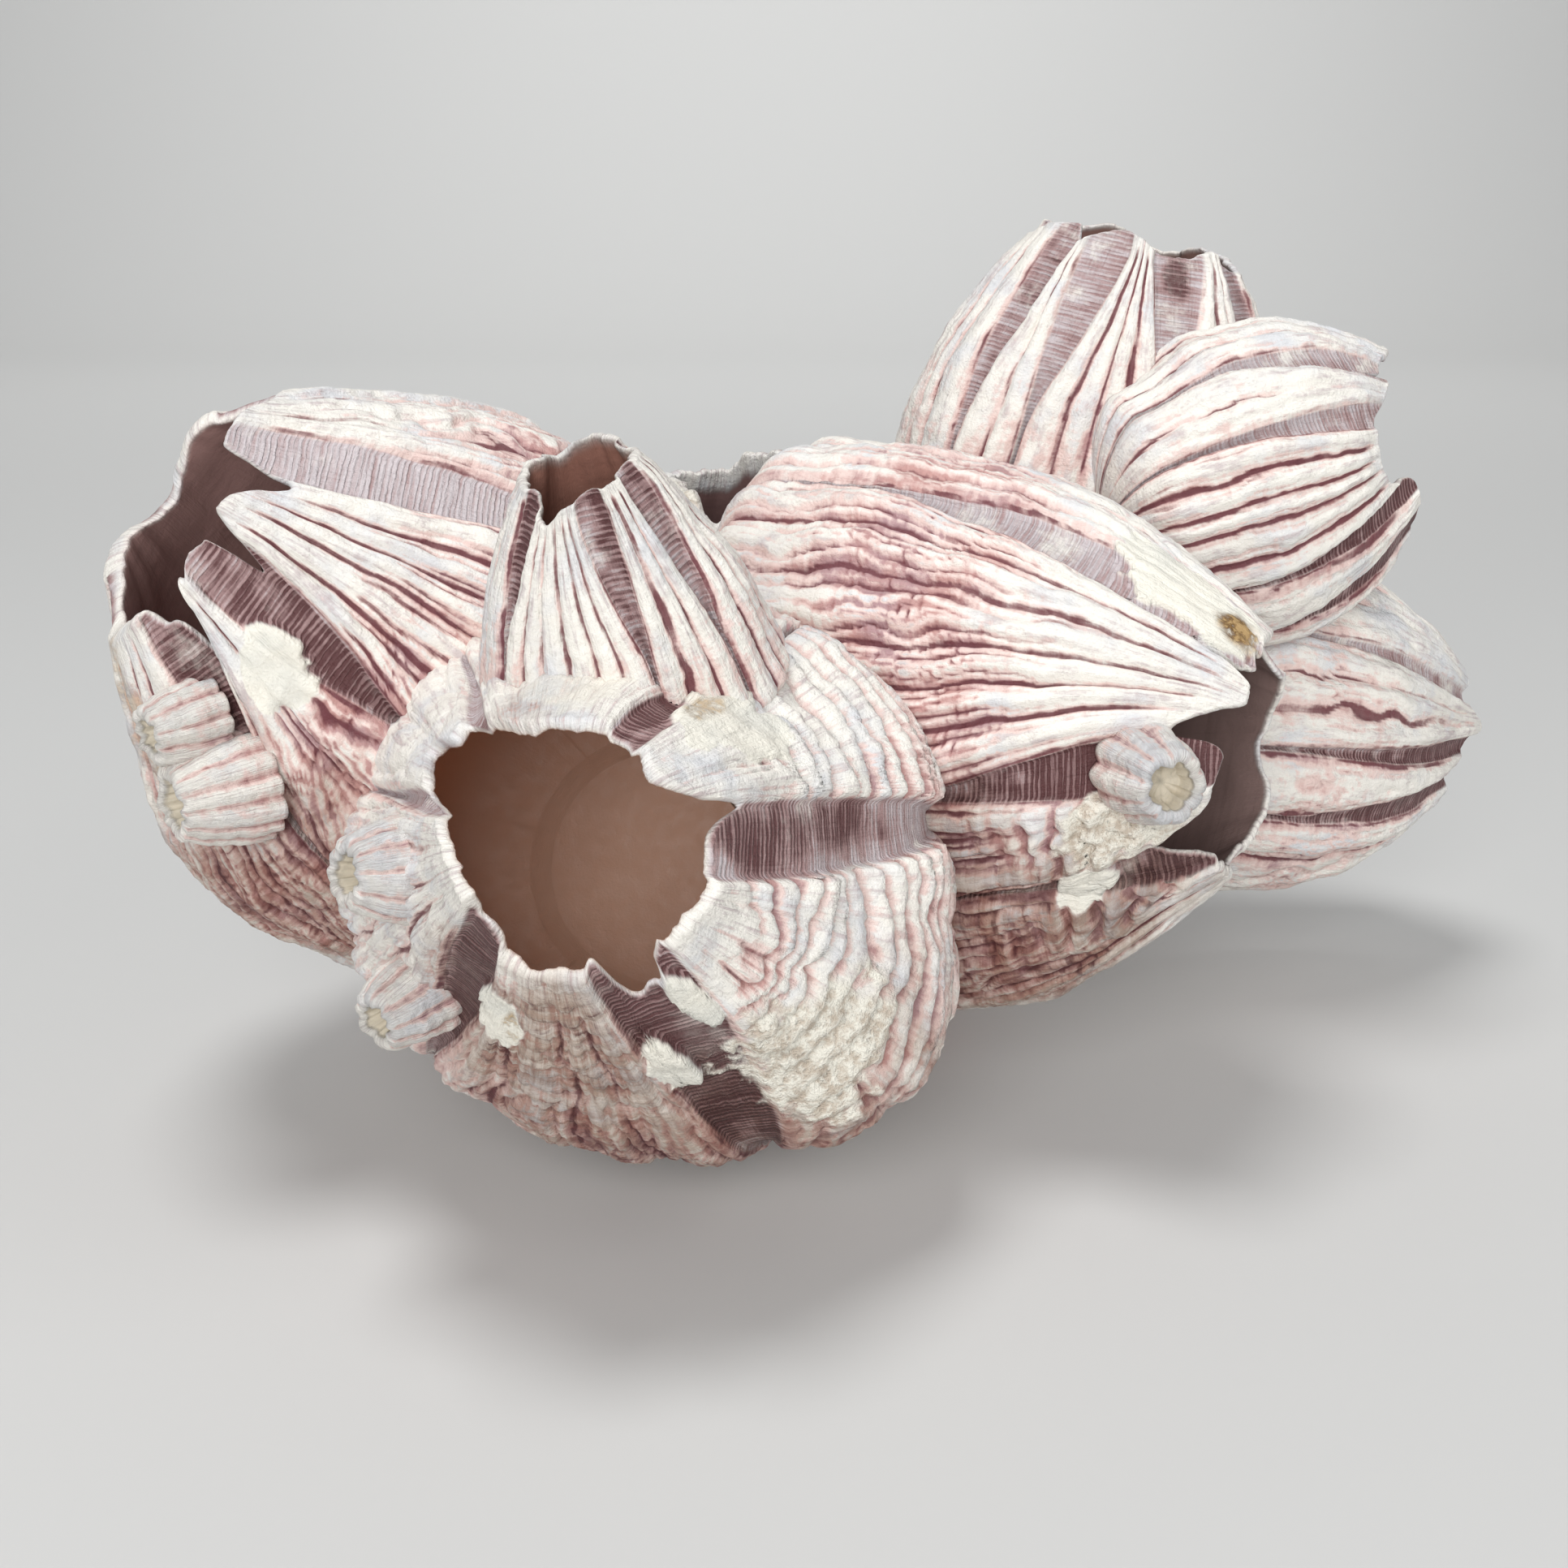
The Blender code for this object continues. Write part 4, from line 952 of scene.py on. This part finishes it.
class Nodes:
    """A short way to write a material's nodes."""

    def __init__(self, name):
        self.material = bpy.data.materials.new(name)
        self.material.use_nodes = True
        self.tree = self.material.node_tree
        self.shader = self.tree.nodes["Principled BSDF"]

    def link(self, value, socket):
        if isinstance(value, (int, float)):
            socket.default_value = value
        elif isinstance(value, tuple):
            socket.default_value = (*value, 1.0) if len(socket.default_value) == 4 else value
        else:
            self.tree.links.new(value, socket)

    def attribute(self, name):
        node = self.tree.nodes.new("ShaderNodeAttribute")
        node.attribute_name = name
        split = self.tree.nodes.new("ShaderNodeSeparateXYZ")
        self.tree.links.new(node.outputs["Vector"], split.inputs[0])
        return split.outputs

    def math(self, operation, a, b=0.0, c=0.0, clamp=False):
        node = self.tree.nodes.new("ShaderNodeMath")
        node.operation = operation
        node.use_clamp = clamp
        for value, socket in zip((a, b, c), node.inputs):
            self.link(value, socket)
        return node.outputs[0]

    def times(self, a, b):
        return self.math("MULTIPLY", a, b)

    def plus(self, a, b, clamp=False):
        return self.math("ADD", a, b, clamp=clamp)

    def plus_times(self, a, factor, b, clamp=False):
        """a times factor, plus b."""
        return self.math("MULTIPLY_ADD", a, factor, b, clamp)

    def vector(self, x, y, z):
        node = self.tree.nodes.new("ShaderNodeCombineXYZ")
        for value, socket in zip((x, y, z), node.inputs):
            self.link(value, socket)
        return node.outputs[0]

    def noise(self, where, scale, detail=3.0, rough=0.55):
        node = self.tree.nodes.new("ShaderNodeTexNoise")
        self.link(where, node.inputs["Vector"])
        node.inputs["Scale"].default_value = scale
        node.inputs["Detail"].default_value = detail
        node.inputs["Roughness"].default_value = rough
        return node.outputs["Fac"]

    def ramp(self, value, low, high, start=0.0, end=1.0):
        node = self.tree.nodes.new("ShaderNodeMapRange")
        node.interpolation_type = "SMOOTHSTEP"
        for given, socket in zip((value, low, high, start, end), node.inputs):
            self.link(given, socket)
        return node.outputs[0]

    def mix(self, share, a, b):
        node = self.tree.nodes.new("ShaderNodeMix")
        node.data_type = "RGBA"
        self.link(share, node.inputs[0])
        self.link(a, node.inputs[6])
        self.link(b, node.inputs[7])
        return node.outputs[2]


PALE = (0.81, 0.78, 0.72)
# a painted shade of the white: bluish grey
PALE_SHADE = (0.66, 0.665, 0.68)
BLUSH = (0.75, 0.585, 0.54)
SALMON = (0.52, 0.30, 0.275)
MAUVE = (0.42, 0.265, 0.275)
BRICK = (0.29, 0.12, 0.115)
VEIN = (0.50, 0.42, 0.425)
WINE = (0.13, 0.03, 0.04)
STRIP_LIGHT = (0.58, 0.525, 0.54)
STRIP_MIDDLE = (0.385, 0.25, 0.245)
STRIP_DARK = (0.11, 0.042, 0.043)
CHALK = (0.82, 0.79, 0.70)
CHALK_SHADE = (0.55, 0.47, 0.38)
ENAMEL = (0.82, 0.79, 0.70)
ENAMEL_SHADE = (0.68, 0.67, 0.61)
STAIN = (0.44, 0.29, 0.13)
STAIN_DARK = (0.16, 0.08, 0.02)
# partly a brownish film, partly painted shade on the lower plates, multiplied over the skin
FILM_AND_SHADE = (0.43, 0.32, 0.27)
CUP_PAINTED_LIGHT = 2.6  # how much paler the top of a cup's wall is painted than its own colour: painted light on the shaded wall
CUP_MOST = 0.92  # the palest that it gets
CUP_DEEP = 0.9  # how dark the very floor of a cup is painted beside its own colour, to even it out with the wall


def shell_material(name, inside, floor, top):
    n = Nodes(name)
    wine_and_groove_shade, strip, dark = n.attribute("tone_a")
    blush_and_groove_shade, crust, stain = n.attribute("tone_b")
    film_and_shade, cover, within = n.attribute("tone_c")
    ring_x, ring_y, grown = n.attribute("ring")
    place = n.tree.nodes.new("ShaderNodeTexCoord").outputs["Object"]
    cloud = n.noise(place, 160, 4)
    fleck = n.noise(place, 850, 4, 0.65)
    grain = n.noise(place, 3400, 3, 0.6)
    streak_x, streak_y = n.times(ring_x, 2.2), n.times(ring_y, 2.2)
    streak = n.noise(n.vector(streak_x, streak_y, n.times(grown, 0.22)), 1.0, 4, 0.6)
    band_x, band_y = n.times(ring_x, 0.09), n.times(ring_y, 0.09)
    bands = n.noise(n.vector(band_x, band_y, n.times(grown, 1.3)), 1.0, 4, 0.62)

    wobble = n.plus_times(fleck, 0.2, grown)
    wave = n.math("SINE", n.times(wobble, 2 * math.pi / STRIA))
    hair = n.noise(n.vector(band_x, band_y, n.times(wobble, 3.1)), 1.0, 2, 0.6)
    lines = n.ramp(n.plus_times(wave, 0.13, hair), 0.34, 0.64)

    # the white, with painted shade in bluish grey laid over it in cloudy patches
    white = n.mix(n.ramp(cloud, 0.45, 0.7), PALE, PALE_SHADE)
    white = n.mix(n.ramp(n.plus_times(fleck, 0.4, streak), 0.68, 0.9, 0.0, 0.75), white, VEIN)
    mottle = n.plus_times(streak, 0.55, n.times(fleck, 0.4))
    mottle = n.plus(mottle, n.times(bands, 0.35))
    uneven = n.math("SUBTRACT", mottle, 0.65)
    # blush and wine carry painted shade in the grooves as well as the shell's own colour
    flush_and_groove_shade = n.plus(blush_and_groove_shade, n.times(uneven, 1.5))
    deep = n.mix(n.ramp(cloud, 0.4, 0.66), SALMON, MAUVE)
    skin = n.mix(n.ramp(flush_and_groove_shade, 0.16, 0.5), white, BLUSH)
    skin = n.mix(n.ramp(flush_and_groove_shade, 0.46, 0.92), skin, deep)
    skin = n.mix(n.ramp(flush_and_groove_shade, 0.95, 1.45, 0.0, 0.85), skin, BRICK)
    red_and_groove_shade = n.plus(wine_and_groove_shade, n.times(uneven, 0.9))
    skin = n.mix(n.ramp(red_and_groove_shade, 0.3, 0.85, 0.0, 0.9), skin, WINE)
    shade = n.plus_times(bands, 0.9, n.times(dark, 0.85))
    shade = n.plus(shade, n.times(n.math("SUBTRACT", streak, 0.5), 0.25))
    shade = n.ramp(shade, 0.35, 1.2)
    fringe = n.times(n.math("SUBTRACT", lines, 0.5), n.ramp(dark, 0.1, 0.8, 0.4, 1.0))
    striped = n.plus_times(fringe, 0.5, n.plus_times(shade, 0.85, 0.08), clamp=True)
    hollow = n.mix(n.ramp(striped, 0.0, 0.5), STRIP_LIGHT, STRIP_MIDDLE)
    hollow = n.mix(n.ramp(striped, 0.4, 1.0), hollow, STRIP_DARK)
    bloom = n.ramp(n.plus_times(fleck, 0.45, cloud), 0.76, 1.0)
    bloom = n.times(bloom, n.ramp(dark, 0.1, 0.9, 0.85, 0.15))
    hollow = n.mix(bloom, hollow, PALE)
    skin = n.mix(n.ramp(strip, 0.25, 0.75), skin, hollow)
    film_and_shade_skin = n.mix(1.0, skin, FILM_AND_SHADE)
    film_and_shade_skin.node.blend_type = "MULTIPLY"
    # the film over the lower plates: partly a brownish film, partly painted shade where they face down
    film_and_shade_veil = n.times(film_and_shade, n.ramp(n.plus(bands, streak), 0.7, 1.15, 0.55, 1.0))
    skin = n.mix(film_and_shade_veil, skin, film_and_shade_skin)
    chalk = n.mix(n.ramp(fleck, 0.35, 0.6), CHALK_SHADE, CHALK)
    skin = n.mix(n.ramp(n.plus_times(fleck, 0.9, crust), 0.7, 1.2), skin, chalk)
    enamel = n.mix(n.ramp(cloud, 0.45, 0.7), ENAMEL, ENAMEL_SHADE)
    skin = n.mix(n.ramp(n.plus_times(fleck, 0.3, cover), 0.45, 0.85), skin, enamel)
    rust = n.mix(n.ramp(fleck, 0.45, 0.58), STAIN_DARK, STAIN)
    skin = n.mix(n.times(stain, n.ramp(n.plus(cloud, fleck), 0.75, 1.1)), skin, rust)
    # The cup is painted darker at its floor and paler up its wall: painted light that evens out the shade
    # in it, partly also the paler upper wall of a real barnacle
    gain = min(CUP_PAINTED_LIGHT, CUP_MOST / max(inside))
    pale = tuple(gain * c for c in inside)
    deepest = tuple(CUP_DEEP * c for c in inside)
    cup = n.mix(n.ramp(grown, floor - 1.0, 0.7 * floor + 0.3 * top), deepest, pale)
    cup = n.mix(n.ramp(bands, 0.45, 0.8, 0.0, 0.3), cup, inside)
    skin = n.mix(n.ramp(within, 0.35, 0.9), skin, cup)
    n.link(skin, n.shader.inputs["Base Color"])

    polish = n.times(n.plus(strip, within, clamp=True), -0.2)
    n.link(n.plus(polish, n.ramp(fleck, 0.3, 0.7, 0.6, 0.84)), n.shader.inputs["Roughness"])
    n.shader.inputs["Specular IOR Level"].default_value = 0.4

    ridge = n.times(n.times(lines, strip), -0.11)
    lumps = n.plus(ridge, n.times(streak, 0.26))
    lumps = n.plus(lumps, n.times(fleck, 0.3))
    lumps = n.plus(lumps, n.times(grain, 0.06))
    lumps = n.plus(lumps, n.times(n.times(fleck, crust), 0.5))
    smoothing = n.ramp(within, 0.3, 0.9, 1.0, 0.25)
    bump = n.tree.nodes.new("ShaderNodeBump")
    bump.inputs["Strength"].default_value = 1.0
    bump.inputs["Distance"].default_value = MM
    n.link(n.times(lumps, smoothing), bump.inputs["Height"])
    n.link(bump.outputs[0], n.shader.inputs["Normal"])
    return n.material


def add_object(name, data):
    thing = bpy.data.objects.new(name, data)
    bpy.context.scene.collection.objects.link(thing)
    return thing


def finish_piece(name, mesh, node, material):
    piece = add_object(name, mesh)
    mesh.materials.append(material)
    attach(piece, "root")
    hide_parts(node)


def build_cluster():
    for name, shell in SHAPES.items():
        node = PREFIX + name
        mesh = build_shell(shell, OLDER.get(name, ()))
        form = shell.form
        material = shell_material(node + "_surface", form["inside"], form["floor"], shell.height)
        finish_piece(node + "_shell", mesh, node, material)
    chalky = shell_material("small_surface", SMALL_INSIDE, 0, SMALL_TOP)
    for number, (carrier, *rest) in enumerate(SMALL, 1):
        node = f"{PREFIX}small_{number}"
        mesh = build_small(number, SHAPES[carrier], *rest)
        finish_piece(node + "_shell", mesh, node, chalky)


def add_camera():
    data = bpy.data.cameras.new("camera")
    data.lens = CAMERA_LENS
    data.sensor_width = CAMERA_SENSOR
    data.clip_start = CAMERA_NEAR
    camera = add_object("camera", data)
    camera.location = CAMERA_PLACE
    camera.rotation_euler = (math.radians(90 - CAMERA_PITCH), 0, 0)
    bpy.context.scene.camera = camera


FLOOR_HEIGHT = -0.0002  # so that it doesn't cross the flat base
FLOOR_COLOUR = (0.62, 0.62, 0.61)
FLOOR_ROUGHNESS = 0.7
# Each light: where it is, where it aims, its size and its power
LIGHTS = {
    "top_light": ((-0.12, -0.12, 0.80), (0.02, -0.02, 0.05), 0.3, 3.1),
    "front_light": ((-0.10, -0.85, 0.33), (0, -0.03, 0.05), 0.6, 6.0),
    "side_light": ((0.7, -0.3, 0.4), (0.03, 0, 0.05), 0.4, 1.1),
    "backdrop_light": ((0, 0.75, 1.3), (0, 1.7, 0.7), 0.8, 14),
}
WORLD_COLOUR = (0.95, 0.97, 1.0, 1)
WORLD_STRENGTH = 0.25


def add_floor():
    """A pale floor that curves up behind into a pale backdrop."""
    reach, depth, bend, rise, steps = 3.0, 1.2, 0.5, 2.0, 12
    profile = [(-reach, FLOOR_HEIGHT), (depth, FLOOR_HEIGHT)]
    for step in range(1, steps + 1):
        turn = step / steps * math.pi / 2
        profile.append((depth + bend * math.sin(turn), FLOOR_HEIGHT + bend * (1 - math.cos(turn))))
    profile.append((depth + bend, rise))
    points = [(x, y, z) for y, z in profile for x in (-reach, reach)]
    faces = [(2 * i, 2 * i + 1, 2 * i + 3, 2 * i + 2) for i in range(len(profile) - 1)]
    mesh = bpy.data.meshes.new("floor_mesh")
    mesh.from_pydata(points, [], faces)
    mesh.polygons.foreach_set("use_smooth", [True] * len(faces))
    floor = add_object("floor", mesh)
    n = Nodes("floor_paint")
    n.link(FLOOR_COLOUR, n.shader.inputs["Base Color"])
    n.link(FLOOR_ROUGHNESS, n.shader.inputs["Roughness"])
    mesh.materials.append(n.material)


def add_light(name, place, aim, size, power):
    data = bpy.data.lights.new(name, "AREA")
    data.shape = "DISK"
    data.size = size
    data.energy = power
    light = add_object(name, data)
    light.location = place
    direction = Vector(aim) - Vector(place)
    light.rotation_euler = direction.to_track_quat("-Z", "Y").to_euler()


def add_lights():
    for name, light in LIGHTS.items():
        add_light(name, *light)
    world = bpy.data.worlds.new("studio")
    world.use_nodes = True
    background = world.node_tree.nodes["Background"]
    background.inputs["Color"].default_value = WORLD_COLOUR
    background.inputs["Strength"].default_value = WORLD_STRENGTH
    bpy.context.scene.world = world
    bpy.context.scene.view_settings.view_transform = "Standard"


add_camera()
build_cluster()
add_floor()
add_lights()
